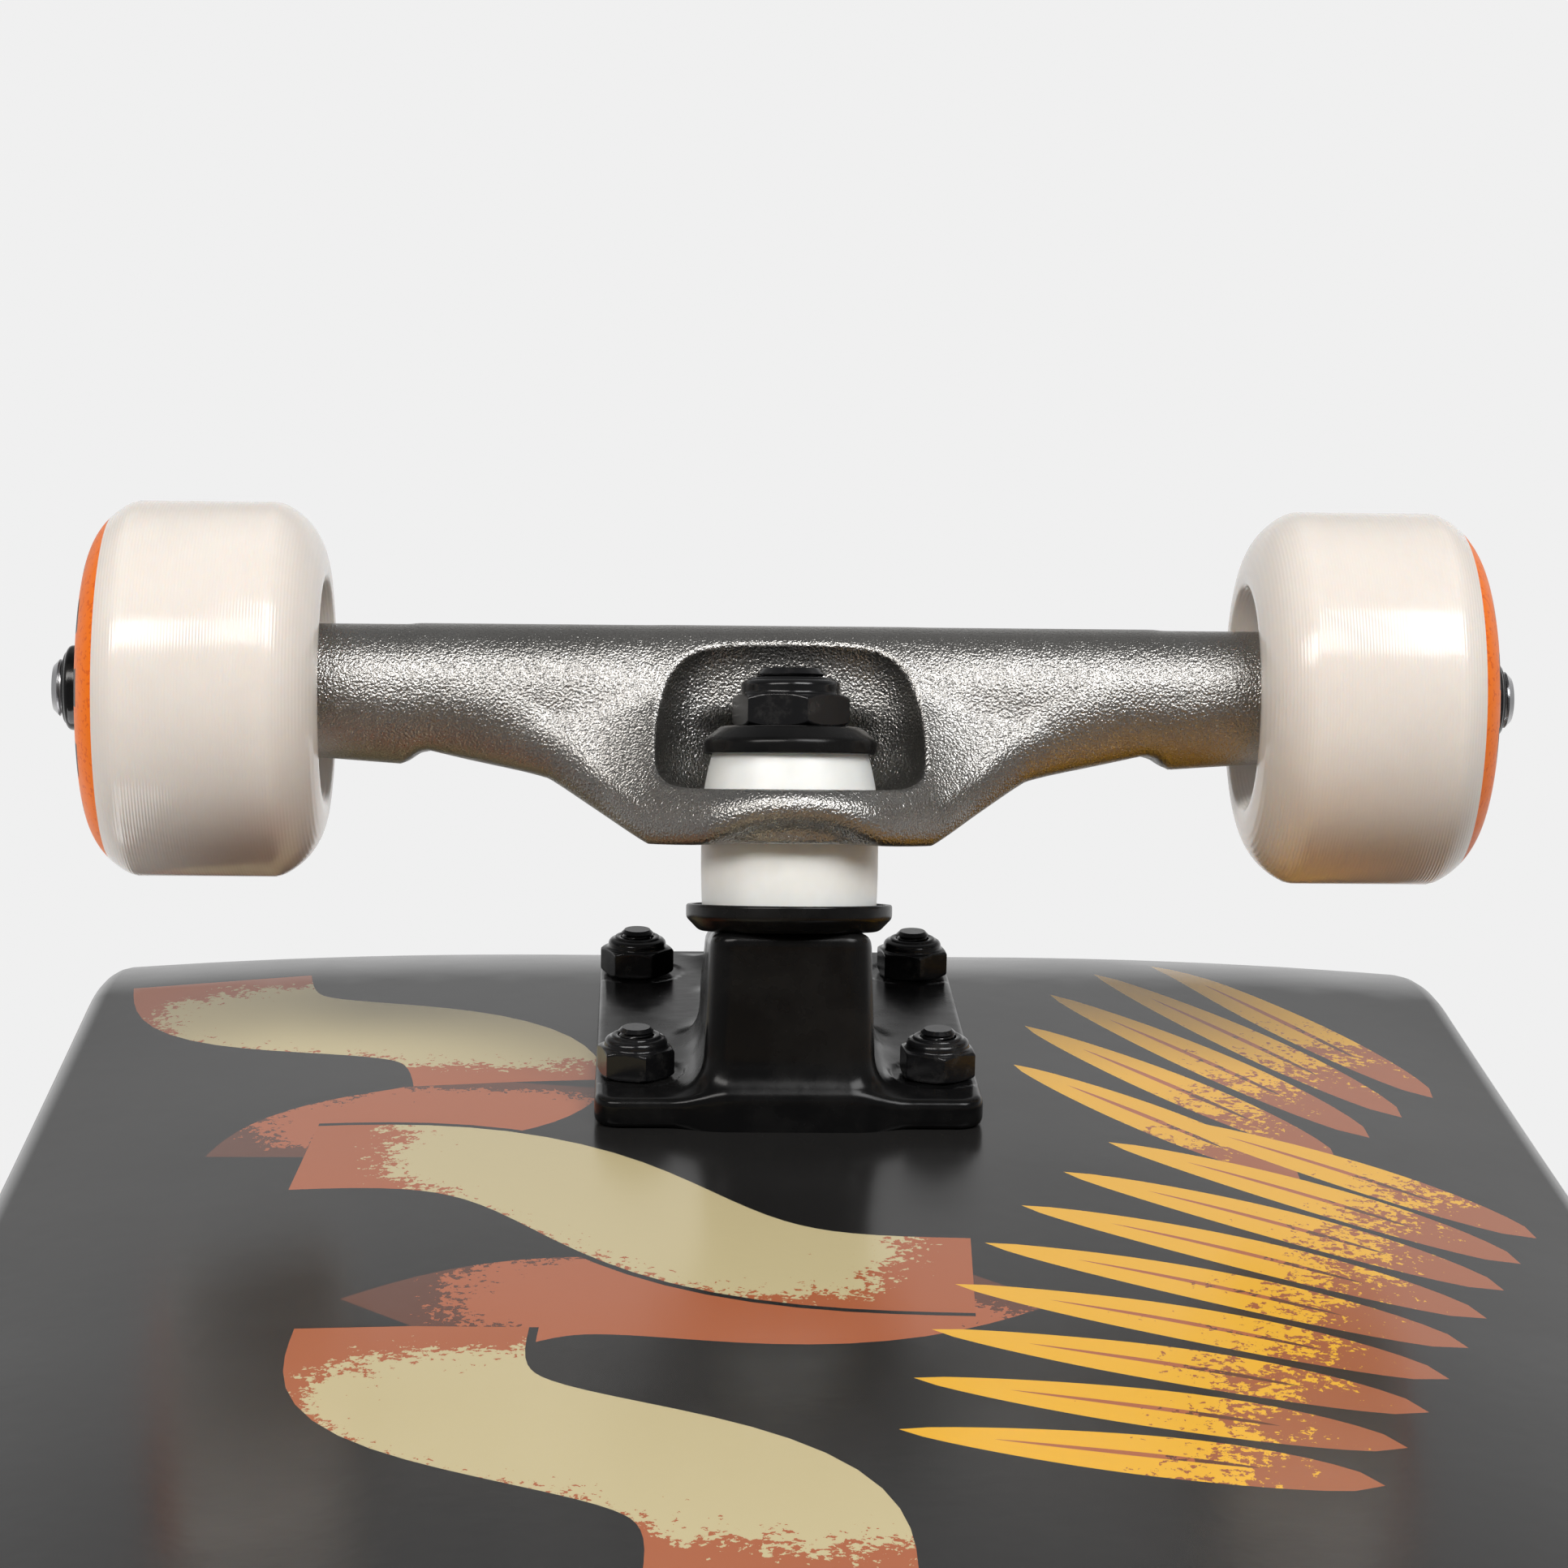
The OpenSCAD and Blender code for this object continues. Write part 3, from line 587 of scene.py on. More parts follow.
MATERIALS = {
    "hanger": cast_aluminium(),
    "paint": black_paint(),
    "black": black_steel(),
    "steel": turned_steel(),
    "race": turned_steel("race_steel", (0.56, 0.56, 0.57), (1, 1, 1)),
    "ball": turned_steel("ball_steel", (0.75, 0.75, 0.76), (1, 1, 1)),
    "wheel": wheel_urethane(),
    "bushing": bushing_urethane(),
    "cup": moulded("cup_urethane", (0.72, 0.70, 0.65)),
    "cage": moulded("cage_nylon", (0.62, 0.53, 0.36)),
    "seal": moulded("seal_rubber", (0.02, 0.02, 0.021), 0.5),
    "insert": moulded("nylon_insert", (0.02, 0.02, 0.022), 0.35),
    "ink_orange": print_ink("ink_orange", (1.0, 0.20, 0.0), (0.85, 0.13, 0.0)),
    "ink_black": print_ink("ink_black", (0.012, 0.012, 0.014), (0.03, 0.03, 0.03)),
    "deck": deck_base(),
    "print_cream": deck_print("print_cream", (0.60, 0.51, 0.29), (0.43, 0.125, 0.05)),
    "print_rust": deck_print("print_rust", (0.44, 0.13, 0.055), (0.13, 0.045, 0.025)),
    "print_yellow": deck_print("print_yellow", (0.88, 0.47, 0.03), (0.38, 0.115, 0.045)),
    "ply": ply_edge(),
    "grip": grip(),
}

# ---- Deck and grip tape ----

THICKNESS = 11.0
EDGE_R = 3.5
GRIP_TOP = THICKNESS + 1.0
HALF_WIDTH = (deck_high[1] - deck_low[1]) / 2
KICK_R, BEND_START = 110.0, (FRONT_X - REAR_X) / 2 + 38.0
TAPER_START = BEND_START + 3.0
OUTLINE_POWER = 2.4
CONCAVE, FLAT_HALF = 6.0, 35.0
NOSE_ANGLE, TAIL_ANGLE = math.radians(21), math.radians(20)
NOSE_END, TAIL_END = 417.0, 406.0
BOLT_DX, BOLT_DY = 54.0, 41.3


def board_point(s, y, t):
    """Point of the deck: s along it, y across it and t through its thickness."""
    s, y, t = (np.asarray(v, float) for v in (s, y, t))
    limit = np.where(s > 0, NOSE_ANGLE, TAIL_ANGLE)
    slope = np.clip((np.abs(s) - BEND_START) / KICK_R, 0, limit)
    straight = np.maximum(0, np.abs(s) - BEND_START - KICK_R * slope)
    along = (np.minimum(np.abs(s), BEND_START) + KICK_R * np.sin(slope)
             + straight * np.cos(slope))
    rise = KICK_R * (1 - np.cos(slope)) + straight * np.sin(slope)
    share = 1 - 0.55 * np.clip((np.abs(s) - BEND_START + 150) / 150, 0, 1) ** 1.5
    lift = t + CONCAVE * share * (np.maximum(0, np.abs(y) - FLAT_HALF)
                                  / (HALF_WIDTH - FLAT_HALF)) ** 2
    return np.stack([MID_X + np.sign(s) * (along - lift * np.sin(slope)), y + 0 * s,
                     DECK_Z + rise + lift * np.cos(slope)], -1)


def board_directions(s, y, t):
    """Directions along the board, across it and up through it, at points of the deck."""
    e = 0.05
    along = board_point(s + e, y, t) - board_point(s - e, y, t)
    across = board_point(s, y + e, t) - board_point(s, y - e, t)
    along /= np.linalg.norm(along, axis=-1, keepdims=True)
    across /= np.linalg.norm(across, axis=-1, keepdims=True)
    return along, across, np.cross(along, across)


def resample(points, spacing):
    """Points spread evenly along a closed line."""
    points = np.vstack([points, points[:1]])
    run = np.concatenate([[0], np.cumsum(np.linalg.norm(np.diff(points, axis=0), axis=1))])
    at = np.linspace(0, run[-1], int(round(run[-1] / spacing)), endpoint=False)
    return np.stack([np.interp(at, run, points[:, i]) for i in range(2)], 1)


def deck_outline():
    """The deck's outline in (s, y), anticlockwise, with squarish nose and tail."""
    turn = np.radians(np.linspace(-90, 90, 241))

    def tip(end):
        s = TAPER_START + (end - TAPER_START) * np.abs(np.cos(turn)) ** (2 / OUTLINE_POWER)
        y = HALF_WIDTH * np.sign(np.sin(turn)) * np.abs(np.sin(turn)) ** (2 / OUTLINE_POWER)
        return np.stack([s, y], 1)

    return resample(np.vstack([tip(NOSE_END), -tip(TAIL_END)]), 2.6)


def outward_of(outline):
    """Directions out of an anticlockwise outline, in its plane."""
    run = np.roll(outline, -1, 0) - np.roll(outline, 1, 0)
    normal = np.stack([run[:, 1], -run[:, 0]], 1)
    return normal / np.linalg.norm(normal, axis=1, keepdims=True)


def circle(x, y, r, count=32):
    turn = np.linspace(0, 2 * math.pi, count, endpoint=False)
    return np.stack([x + r * np.cos(turn), y + r * np.sin(turn)], 1)


def inside(points, outline):
    """Which points lie inside a closed outline."""
    hits = np.zeros(len(points), bool)
    for a, b in zip(outline, np.roll(outline, -1, 0)):
        crosses = (a[1] > points[:, 1]) != (b[1] > points[:, 1])
        rise = b[1] - a[1] if b[1] != a[1] else 1.0
        hits ^= crosses & (points[:, 0] < a[0] + (points[:, 1] - a[1]) / rise * (b[0] - a[0]))
    return hits


def triangles(border, shapes, spacing):
    """Triangles of a flat area that keep each shape's outline, and the last shape each lies in."""
    low, high = border.min(0), border.max(0)
    xs = np.arange(low[0] + spacing / 2, high[0], spacing)
    ys = np.linspace(low[1], high[1], int((high[1] - low[1]) / spacing) + 1)[1:-1]
    xs, ys = np.meshgrid(xs, ys)
    xs[::2] += spacing / 2
    grid = np.stack([xs.ravel(), ys.ravel()], 1)
    grid = grid[inside(grid, border - outward_of(border) * spacing * 0.45)]
    points, outlines, count = [border], [list(range(len(border)))], len(border)
    for shape in shapes:
        x, y = shape.T
        anticlockwise = (x * np.roll(y, -1) - y * np.roll(x, -1)).sum() > 0
        order = range(count, count + len(shape))
        outlines.append(list(order if anticlockwise else reversed(order)))
        points.append(shape)
        count += len(shape)
    points.append(grid)
    found = delaunay_2d_cdt([Vector(p) for p in np.vstack(points)], [], outlines, 0, 1e-5)
    keep = [(t, max(w) - 1) for t, w in zip(found[2], found[5]) if 0 in w]
    sources = {}
    for i, origin in enumerate(found[3]):
        for o in origin:
            sources[o] = i
    return (np.array([tuple(v) for v in found[0]]), np.array([t for t, _ in keep]),
            np.array([w for _, w in keep]), np.array([sources[i] for i in range(len(border))]))


def leaf(root, tip, width):
    """Pointed leaf between two points, and how far along it a point lies, from the tip."""
    root, tip = np.array(root, float), np.array(tip, float)
    ahead = tip - root
    side = np.array([-ahead[1], ahead[0]]) / np.linalg.norm(ahead)
    t = np.linspace(0, 1, 19)
    half = width / 2 * np.sin(math.pi * t ** 0.75) ** 0.7
    one = root + np.outer(t, ahead) + np.outer(half, side)
    two = root + np.outer(t, ahead) - np.outer(half, side)
    return (np.vstack([one, two[-2:0:-1]]),
            lambda p: np.clip(1 - ((p - root) @ ahead) / (ahead @ ahead), 0, 1) ** 1.5 * 0.8)


def band(line, low, high):
    """Stretch of a streamer between two offsets from a line; it darkens to its ends and one side."""
    run = np.gradient(line, axis=0)
    normal = np.stack([-run[:, 1], run[:, 0]], 1) / np.linalg.norm(run, axis=1, keepdims=True)
    outline = np.vstack([line + low * normal, (line + high * normal)[::-1]])

    def fade(p):
        nearest = np.argmin(np.linalg.norm(p[:, None] - line[None], axis=2), axis=1)
        ends = np.abs(nearest / (len(line) - 1) * 2 - 1)
        across = (((p - line[nearest]) * normal[nearest]).sum(1) - low) / (high - low)
        return np.clip(0.35 * across ** 4 + 0.8 * ends ** 4 + 0.05, 0, 1)

    return outline, fade


def swash(start, stop, bow, count=25):
    """Gently waving line between two points."""
    start, stop = np.array(start, float), np.array(stop, float)
    t = np.linspace(0, 1, count)[:, None]
    side = np.array([-(stop - start)[1], (stop - start)[0]])
    return start + (stop - start) * t + side * bow * np.sin(2 * math.pi * t)


def streamer(corners, half, rim):
    """A plain folded ribbon through some corners: its back shows on every other stretch."""
    stretches = list(zip(corners, corners[1:]))
    for first in (1, 0):
        for i, (start, stop) in list(enumerate(stretches))[first::2]:
            line = swash(start, stop, 0.10 if i % 4 == 0 else -0.08)
            yield ("deck", *band(line, -half - rim, half + rim))
            yield ("print_rust" if first else "print_cream", *band(line, -half, half))


def leaf_row(roots, tips, count, width):
    """Leaves side by side, from a row of roots to a row of tips, each given by its two ends."""
    for i in range(count):
        t = i / (count - 1)
        root = np.array(roots[0]) * (1 - t) + np.array(roots[1]) * t
        tip = np.array(tips[0]) * (1 - t) + np.array(tips[1]) * t
        tip = root + (tip - root) * (1 + 0.14 * math.sin(math.pi * t))
        yield ("print_yellow", *leaf(root, tip, width))
        rib = root * 0.75 + tip * 0.25, root * 0.2 + tip * 0.8
        yield ("print_rust", *leaf(*rib, 1.2))


def graphic():
    """Printed shapes as (material, outline, fade): a plain folded ribbon on one side and rows of
    leaves on the other. The tail half repeats the nose half, turned half a turn."""
    ribbon = [(248, -84), (190, -38), (158, -64), (110, 20), (92, -46), (20, -6)]
    rows = [(((194, 92), (150, 66)), ((260, 60), (200, 33)), 5, 10.0),
            (((136, 94), (46, 58)), ((176, 50), (60, 8)), 9, 11.5)]
    shapes = []
    for turn in (1, -1):
        shapes += streamer([np.array(c) * turn for c in ribbon], 13.5, 1.1)
        for roots, tips, count, width in rows:
            shapes += leaf_row(np.array(roots) * turn, np.array(tips) * turn, count, width)
    return shapes


def make_deck(outline):
    shapes = graphic()
    arc = np.radians(np.linspace(0, 90, 6))
    rows = [(EDGE_R * (1 - math.sin(a)), EDGE_R * (1 - math.cos(a)), math.sin(a), -math.cos(a))
            for a in arc]
    rows += [(inset, THICKNESS - t, out, -up) for inset, t, out, up in rows[::-1]]
    away = outward_of(outline)
    border = outline - away * EDGE_R
    flat, tris, within, edge = triangles(border, [s[1] for s in shapes], 6.0)
    top_flat, top_tris, _, top_edge = triangles(border, [], 9.0)

    points, normals, depth = [], [], []

    def add(plane, t, out, rise, outwards=None):
        s, y = plane.T
        along, across, up = board_directions(s, y, t)
        normal = rise * up
        if outwards is not None:
            normal = normal + out * (along * outwards[:, :1] + across * outwards[:, 1:])
        points.append(board_point(s, y, t))
        normals.append(normal / np.linalg.norm(normal, axis=1, keepdims=True))
        depth.append(np.full(len(s), t / THICKNESS))

    add(flat, 0.0, 0, -1)
    add(top_flat, THICKNESS, 0, 1)
    for inset, t, out, rise in rows[1:-1]:
        add(outline - away * inset, t, out, rise, away)
    n, base = len(outline), len(flat) + len(top_flat)
    rings = [edge] + [base + i * n + np.arange(n) for i in range(len(rows) - 2)]
    rings.append(len(flat) + top_edge)
    faces = [list(t[::-1]) for t in tris] + [list(t + len(flat)) for t in top_tris]
    names = ["deck", "print_cream", "print_rust", "print_yellow", "ply"]
    index = [names.index(shapes[w][0]) if w >= 0 else 0 for w in within] + [4] * len(top_tris)
    for k, (low, high) in enumerate(zip(rings, rings[1:])):
        nxt_low, nxt_high = np.roll(low, -1), np.roll(high, -1)
        faces += np.stack([low, nxt_low, nxt_high, high], 1).tolist()
        index += [0 if k < 3 else 4] * n
    mesh = new_mesh("deck", np.vstack(points), faces, np.vstack(normals))
    for name in names:
        mesh.materials.append(MATERIALS[name])
    mesh.polygons.foreach_set("material_index", index)
    through = mesh.attributes.new("depth", "FLOAT", "POINT")
    through.data.foreach_set("value", np.concatenate(depth).astype(np.float32))
    fade = np.zeros(len(mesh.loops), np.float32)
    for w in range(len(shapes)):
        chosen = np.nonzero(within == w)[0]
        if len(chosen):
            value = shapes[w][2](flat[tris[chosen][:, ::-1].ravel()])
            fade[(chosen[:, None] * 3 + np.arange(3)).ravel()] = value
    faded = mesh.attributes.new("fade", "FLOAT", "CORNER")
    faded.data.foreach_set("value", fade)
    place("deck_laminate", mesh, "board", [], "lacquered_maple", ["deck"])


def make_grip(outline):
    """Grip tape: a sheet cut a little inside the deck's edge, with a hole round each bolt head."""
    border = outline - outward_of(outline) * EDGE_R
    holes = [circle(x - MID_X + sx * BOLT_DX / 2, sy * BOLT_DY / 2, HEAD_R + 0.18)
             for x in (FRONT_X, REAR_X) for sx in (-1, 1) for sy in (-1, 1)]
    flat, tris, within, edge = triangles(border, holes, 5.0)
    tris = tris[within < 0]
    used = np.unique(tris)
    renumber = np.full(len(flat), -1)
    renumber[used] = np.arange(len(used))
    flat, tris, edge = flat[used], renumber[tris], renumber[edge]
    count = len(flat)
    s, y = flat.T
    grit = np.random.default_rng(7).normal(0, 0.02, count)
    top = board_point(s, y, GRIP_TOP - 0.03 + np.clip(grit, -0.05, 0.03))
    low = board_point(s, y, THICKNESS + 0.01)
    faces = np.vstack([tris, tris[:, ::-1] + count]).tolist()
    sides = {}
    for t in tris.tolist():
        for a, b in zip(t, t[1:] + t[:1]):
            sides[(a, b)] = True
    faces += [[b, a, a + count, b + count] for a, b in sides if (b, a) not in sides]
    mesh = new_mesh("grip_tape", np.vstack([top, low]), faces, sharp_angle=50)
    place("grip_tape_sheet", mesh, "board", MATERIALS["grip"], "grip_tape", ["grip_tape"])


# ---- Hardware ----

bolts_low, bolts_high = box_mm("deck_bolts")
BOLT_R = 2.4
HEAD_R = bolts_high[1] - BOLT_DY / 2
HEAD_DEPTH = 2.6
SOCKET, SOCKET_DEPTH = 3.2, 2.0
BOLT_END = DECK_Z - bolts_low[2]
PLATE_T = 4.1


def hexagon(x, y, across_flats):
    """Distance to a hexagon."""
    x, y = np.abs(x), np.abs(y)
    return np.maximum(x * math.cos(math.pi / 6) + y * 0.5, y) - across_flats / 2


def lock_nut(name, across_flats, hex_h, height, bore_r, collar_r):
    """Lock nut on z = 0: chamfered hexagon and round collar; its nylon ring is a separate mesh."""
    def field(x, y, z):
        rho = np.hypot(x, y)
        flats = np.maximum(hexagon(x, y, across_flats), np.abs(z - hex_h / 2) - hex_h / 2)
        top = (rho - across_flats / 2 - 0.25 + (z - hex_h) * 1.7) * 0.5
        low = (rho - across_flats / 2 - 0.25 - z * 1.7) * 0.5
        body = smooth_max(flats, np.maximum(top, low), 0.25)
        collar = disc(rho, z, collar_r, hex_h - 1, height - 0.35, 0.8)
        crown = disc(rho, z, collar_r - 0.9, hex_h - 1, height, 0.3)
        body = smooth_min(smooth_min(body, collar, 0.5), crown, 0.25)
        return smooth_max(body, bore_r + 0.04 - rho, 0.3)
    r = across_flats / math.sqrt(3) + 0.6
    return cast(name, field, (-r, -r, -0.6), (r, r, height + 0.6), across_flats / 62)


def bolt_head(name):
    """Countersunk head with a hexagon socket; z = 0 is its flat top."""
    def field(x, y, z):
        rho = np.hypot(x, y)
        cone = (rho - HEAD_R - z * (HEAD_R - BOLT_R) / HEAD_DEPTH) * 0.75
        head = smooth_max(smooth_max(cone, z, 0.3), -HEAD_DEPTH - 0.5 - z, 0.2)
        socket = np.maximum(hexagon(x, y, SOCKET), -SOCKET_DEPTH - z)
        return smooth_max(head, -socket, 0.25)
    return cast(name, field, (-5.4, -5.4, -3.8), (5.4, 5.4, 0.7), 0.11)


def make_bolts():
    """Eight bolts, with rolled threads, and their lock nuts."""
    head = bolt_head("head")
    shank = screw("shank", [(-HEAD_DEPTH, BOLT_R, 0), (-9.0, BOLT_R, 0),
                            (-GRIP_TOP - BOLT_END + 0.5, BOLT_R, 1),
                            (-GRIP_TOP - BOLT_END, BOLT_R - 0.5, 0)], 0.8, 0.4, 32)
    nut = lock_nut("nut", 9.5, 3.8, 5.5, BOLT_R, 4.3)
    ring = lathe("ring", [(2.5, 4.4), (3.3, 4.4), (3.3, 5.25), (2.5, 5.25)], 40)
    bolts, nuts, rings = [], [], []
    turns = random.Random(4)
    for x in (FRONT_X, REAR_X):
        for sx in (-1, 1):
            for sy in (-1, 1):
                at = Vector((x + sx * BOLT_DX / 2, sy * BOLT_DY / 2, DECK_Z)) * MM
                turn = Matrix.Rotation(turns.uniform(0, math.pi / 3), 4, "Z")
                bolt = Matrix.Translation(at + Vector((0, 0, GRIP_TOP * MM))) @ turn
                bolts += [(head, bolt), (shank, bolt)]
                under = (Matrix.Translation(at - Vector((0, 0, PLATE_T * MM)))
                         @ Matrix.Rotation(math.pi, 4, "X") @ turn)
                nuts.append((nut, under))
                rings.append((ring, under))
    place("truck_bolts", joined("truck_bolts", bolts), "board", MATERIALS["black"], "black_steel",
          ["deck_bolts"])
    place("truck_nuts", joined("truck_nuts", nuts), "board", MATERIALS["black"], "black_steel",
          ["deck_nuts"])
    place("truck_nut_inserts", joined("truck_nut_inserts", rings), "board", MATERIALS["insert"],
          "black_steel")


# ---- Trucks ----

PIVOT_AXIS = (math.cos(STEER_LEAN), math.sin(STEER_LEAN))
KING = (math.cos(KINGPIN_LEAN), math.sin(KINGPIN_LEAN))

# Along the kingpin, from the ring's middle: the baseplate's seat, the nut and the ring's half height
BASE_SEAT, NUT_LOW, RING_HALF = -15.4, 12.4, 3.8
CUP_T = 1.2
PIN_R = 4.75
PIVOT_R = 4.9
AXLE_HOUSING_R = 9.25
SEAT_R = 12.45
PLATE_HALF, PLATE_CORNER = (40.0, 26.2), 3.5
BOSS_FRONT, BOSS_BACK, BOSS_HALF, BOSS_CORNER = 39.6, 6.8, 11.9, 3.6
PIVOT_HOUSING_R, PIVOT_BORE_R = 10.4, 7.45
NUT_SEAT_R, BOLT_HOLE_R = 6.4, 2.6

# The window over the ring: half width, middle along the kingpin and how round its corners are
WINDOW_HALF, WINDOW_MIDDLE, WINDOW_CORNER = 19.8, 11.0, 9.3


def on_kingpin(x, h):
    """(u, w): across and along the kingpin, from the middle of the hanger's ring."""
    dx, dh = x - RING_X, h - RING_H
    return dx * KING[0] + dh * KING[1], -dx * KING[1] + dh * KING[0]


def on_pivot(x, h):
    """(a, d): along the steering axis from the pivot cup, and off it in the side plane."""
    dx, dh = x - PIVOT_X, h - PIVOT_H
    return dx * PIVOT_AXIS[0] + dh * PIVOT_AXIS[1], -dx * PIVOT_AXIS[1] + dh * PIVOT_AXIS[0]


def baseplate_field(x, y, h):
    """Baseplate: a plate with the kingpin's boss, the pivot's housing and a web between them."""
    y = np.abs(y)
    flat = rounded_rectangle(x, y, *PLATE_HALF, PLATE_CORNER)
    plate = smooth_max(flat, np.abs(h - PLATE_T / 2) - PLATE_T / 2, 1.2)
    u, w = on_kingpin(x, h)
    taper = np.clip(h / 24, 0, 1)
    front = BOSS_FRONT - 1.9 * taper
    boss = rounded_rectangle(x - (front + BOSS_BACK) / 2, y, (front - BOSS_BACK) / 2,
                             BOSS_HALF - taper, BOSS_CORNER)
    boss = smooth_max(smooth_max(boss, w - BASE_SEAT, 2.0), -h, 0.5)
    a, d = on_pivot(x, h)
    rho = np.hypot(y, d)
    housing = smooth_max(smooth_max(rho - PIVOT_HOUSING_R, a - 2.0, 1.6), -11.5 - a, 1.0)
    housing = smooth_max(housing, -h, 0.3)
    web = smooth_max(rounded_rectangle(x - 1, y, 17.0, 8.0, 2.0), h - 12.5, 4.0)
    web = smooth_max(web, -h, 0.3)
    raised = smooth_min(smooth_min(boss, web, 6.0), housing, 4.0)
    body = smooth_min(plate, raised, 5.5)
    from_bolt = np.hypot(np.abs(x) - BOLT_DX / 2, y - BOLT_DY / 2)
    nut_seats = smooth_max(from_bolt - NUT_SEAT_R, np.abs(h - PLATE_T - 2) - 2, 0.4)
    body = smooth_max(body, -nut_seats, 0.8)
    rho_king = np.hypot(u, y)
    body = smooth_max(body, PIN_R + 0.1 - rho_king, 0.4)
    body = np.maximum(body, -np.maximum(rho_king - 7.25, w + 30.6))
    body = smooth_max(body, -np.maximum(rho - PIVOT_BORE_R, -8.0 - a), 0.6)
    return smooth_max(body, BOLT_HOLE_R - from_bolt, 0.4)


# Heights along the kingpin by the distance across the board: the hanger lip's top and bottom edges,
# and the line under which nothing of the casting lies
LIP_TOP = [(0, 3.8), (16, 3.8), (20, 4.6), (25, 9.3), (29, 14.0), (34, 18.0), (40, 21.5),
           (46, 24.3), (50, 25.3), (70, 25.4)]
LIP_LOW = [(0, -0.8), (5, -1.4), (9, -3.0), (12, -4.2), (17, -4.6), (20, -4.2), (26, -0.3),
           (33, 4.3), (42, 6.5), (50, 8.4), (70, 9.0)]
CUT = [(0, -3.8), (19.2, -3.8), (33, 5.1), (49.8, 9.0), (51.2, 8.6), (53.4, 6.5), (54.4, -4.0),
       (58, -30.0), (90, -30.0)]
HANGER_END = box_mm("front_hanger")[1][1]


def hanger_field(x, y, h):
    """Cast hanger: axle housing, arms, yoke with its window, ring and pivot arm."""
    y = np.abs(y)
    u, w = on_kingpin(x, h)
    axle_u, axle_w = on_kingpin(AXLE_X, AXLE_H)
    from_axle = np.hypot(u - axle_u, w - axle_w)
    bar = smooth_max(from_axle - AXLE_HOUSING_R, y - HANGER_END, 1.2)
    swell = 0.95 * np.clip(np.minimum((67.0 - y) / 13.6, (y - 30.0) / 20.0), 0, 1)
    collar = np.hypot(u - axle_u, w - axle_w + swell) - AXLE_HOUSING_R
    collar = smooth_max(collar, y - 66.5, 1.0)
    bar = np.minimum(bar, collar)

    # Webs from the housing to a lip whose plan curve goes round the ring
    reach = np.where(y < 12, np.sqrt(np.maximum(15.6 ** 2 - np.minimum(y, 15.0) ** 2, 1)),
                     9.97 - 1.204 * (y - 12))
    floor = axle_u - 1.5 + 5.0 * np.clip((52.0 - y) / 18.0, 0, 1)
    reach = -smooth_min(-reach, -floor, 8.0)
    top, low = curve(y, LIP_TOP), curve(y, LIP_LOW)
    lip_r = np.maximum((top - low) / 2, 1.0)
    lip_w = (top + low) / 2
    du, dw = reach - axle_u, lip_w - axle_w
    length = du * du + dw * dw
    t = np.clip(((u - axle_u) * du + (w - axle_w) * dw) / np.maximum(length, 1e-6), 0, 1)
    wing = np.hypot(u - axle_u - t * du, w - axle_w - t * dw) - (8.2 + (lip_r - 8.2) * t)
    wing = smooth_max(wing * 0.85, y - 51.0, 1.5)

    # Ring, and a spine that ties its back to the housing
    rho = np.hypot(u, y)
    hub = disc(np.hypot(np.maximum(u, 0.82 * u), y), w, 15.4, -RING_HALF, RING_HALF - 0.2, 1.0)
    spine_u, spine_w = -12.5 - axle_u, 1.5 - axle_w
    t = np.clip(((u - axle_u) * spine_u + (w - axle_w) * spine_w)
                / (spine_u ** 2 + spine_w ** 2), 0, 1)
    spine = np.hypot(u - axle_u - t * spine_u, w - axle_w - t * spine_w) - (8.0 - 2.4 * t)
    spine = smooth_max(spine, y - 19.0, 4.0)
    body = smooth_min(smooth_min(bar, wing, 2.0), smooth_min(hub, spine, 2.0), 2.0)
    cut = np.interp(y, *np.array(CUT, float).T)
    body = smooth_max(body, (cut - w) * 0.75, 1.2)

    # Pivot arm
    a, d = on_pivot(x, h)
    off = np.hypot(y, d)
    taper = np.clip((a - 13.0) / 16.0, 0, 1)
    arm = off - (6.4 + 3.4 * taper)
    arm = smooth_max(smooth_max(arm, 12.0 - a, 1.5), a - 30.0, 3.0)
    arm = smooth_max(arm, -RING_HALF - w, 1.5)
    body = smooth_min(body, arm, 5.0)
    pin = np.where(a < -1.4, np.hypot(off, a + 1.4), off) - PIVOT_R
    pin = smooth_max(pin, a - 20.0, 0.5)
    body = smooth_min(body, pin, 1.2)

    # Window: a rounded opening above the ring, hollowed like a bowl
    over = np.where(w > WINDOW_MIDDLE, 14.3, 7.2)
    power = np.where(w > WINDOW_MIDDLE, 2.8, 5.5)
    yy = np.minimum(y / WINDOW_HALF, 3)
    ww = np.minimum(np.abs(w - WINDOW_MIDDLE) / over, 4)
    opening = ((yy ** power + ww ** power) ** (1 / power) - 1) * 12.5
    room = rounded_rectangle(u - 25.7, y, 35.0, WINDOW_HALF, WINDOW_CORNER)
    pocket = smooth_max(opening, room, 5.0)
    washer = disc(np.hypot(u, np.maximum(y - 3, 0)), w, 12.8, 3.0, 13.7, 2.0)
    pocket = smooth_min(pocket, washer, 2.0)
    body = smooth_max(body, -pocket, 0.6)
    seats = np.maximum(rho - SEAT_R, 1.8 - np.abs(w))
    seats = np.maximum(seats, w - 12.0)
    body = smooth_max(body, -seats, 0.8)
    body = smooth_max(body, 7.0 - rho - np.maximum(0, np.abs(w) - 9) * 4, 0.6)
    return smooth_max(body, AXLE_R + 0.02 - from_axle, 0.4)


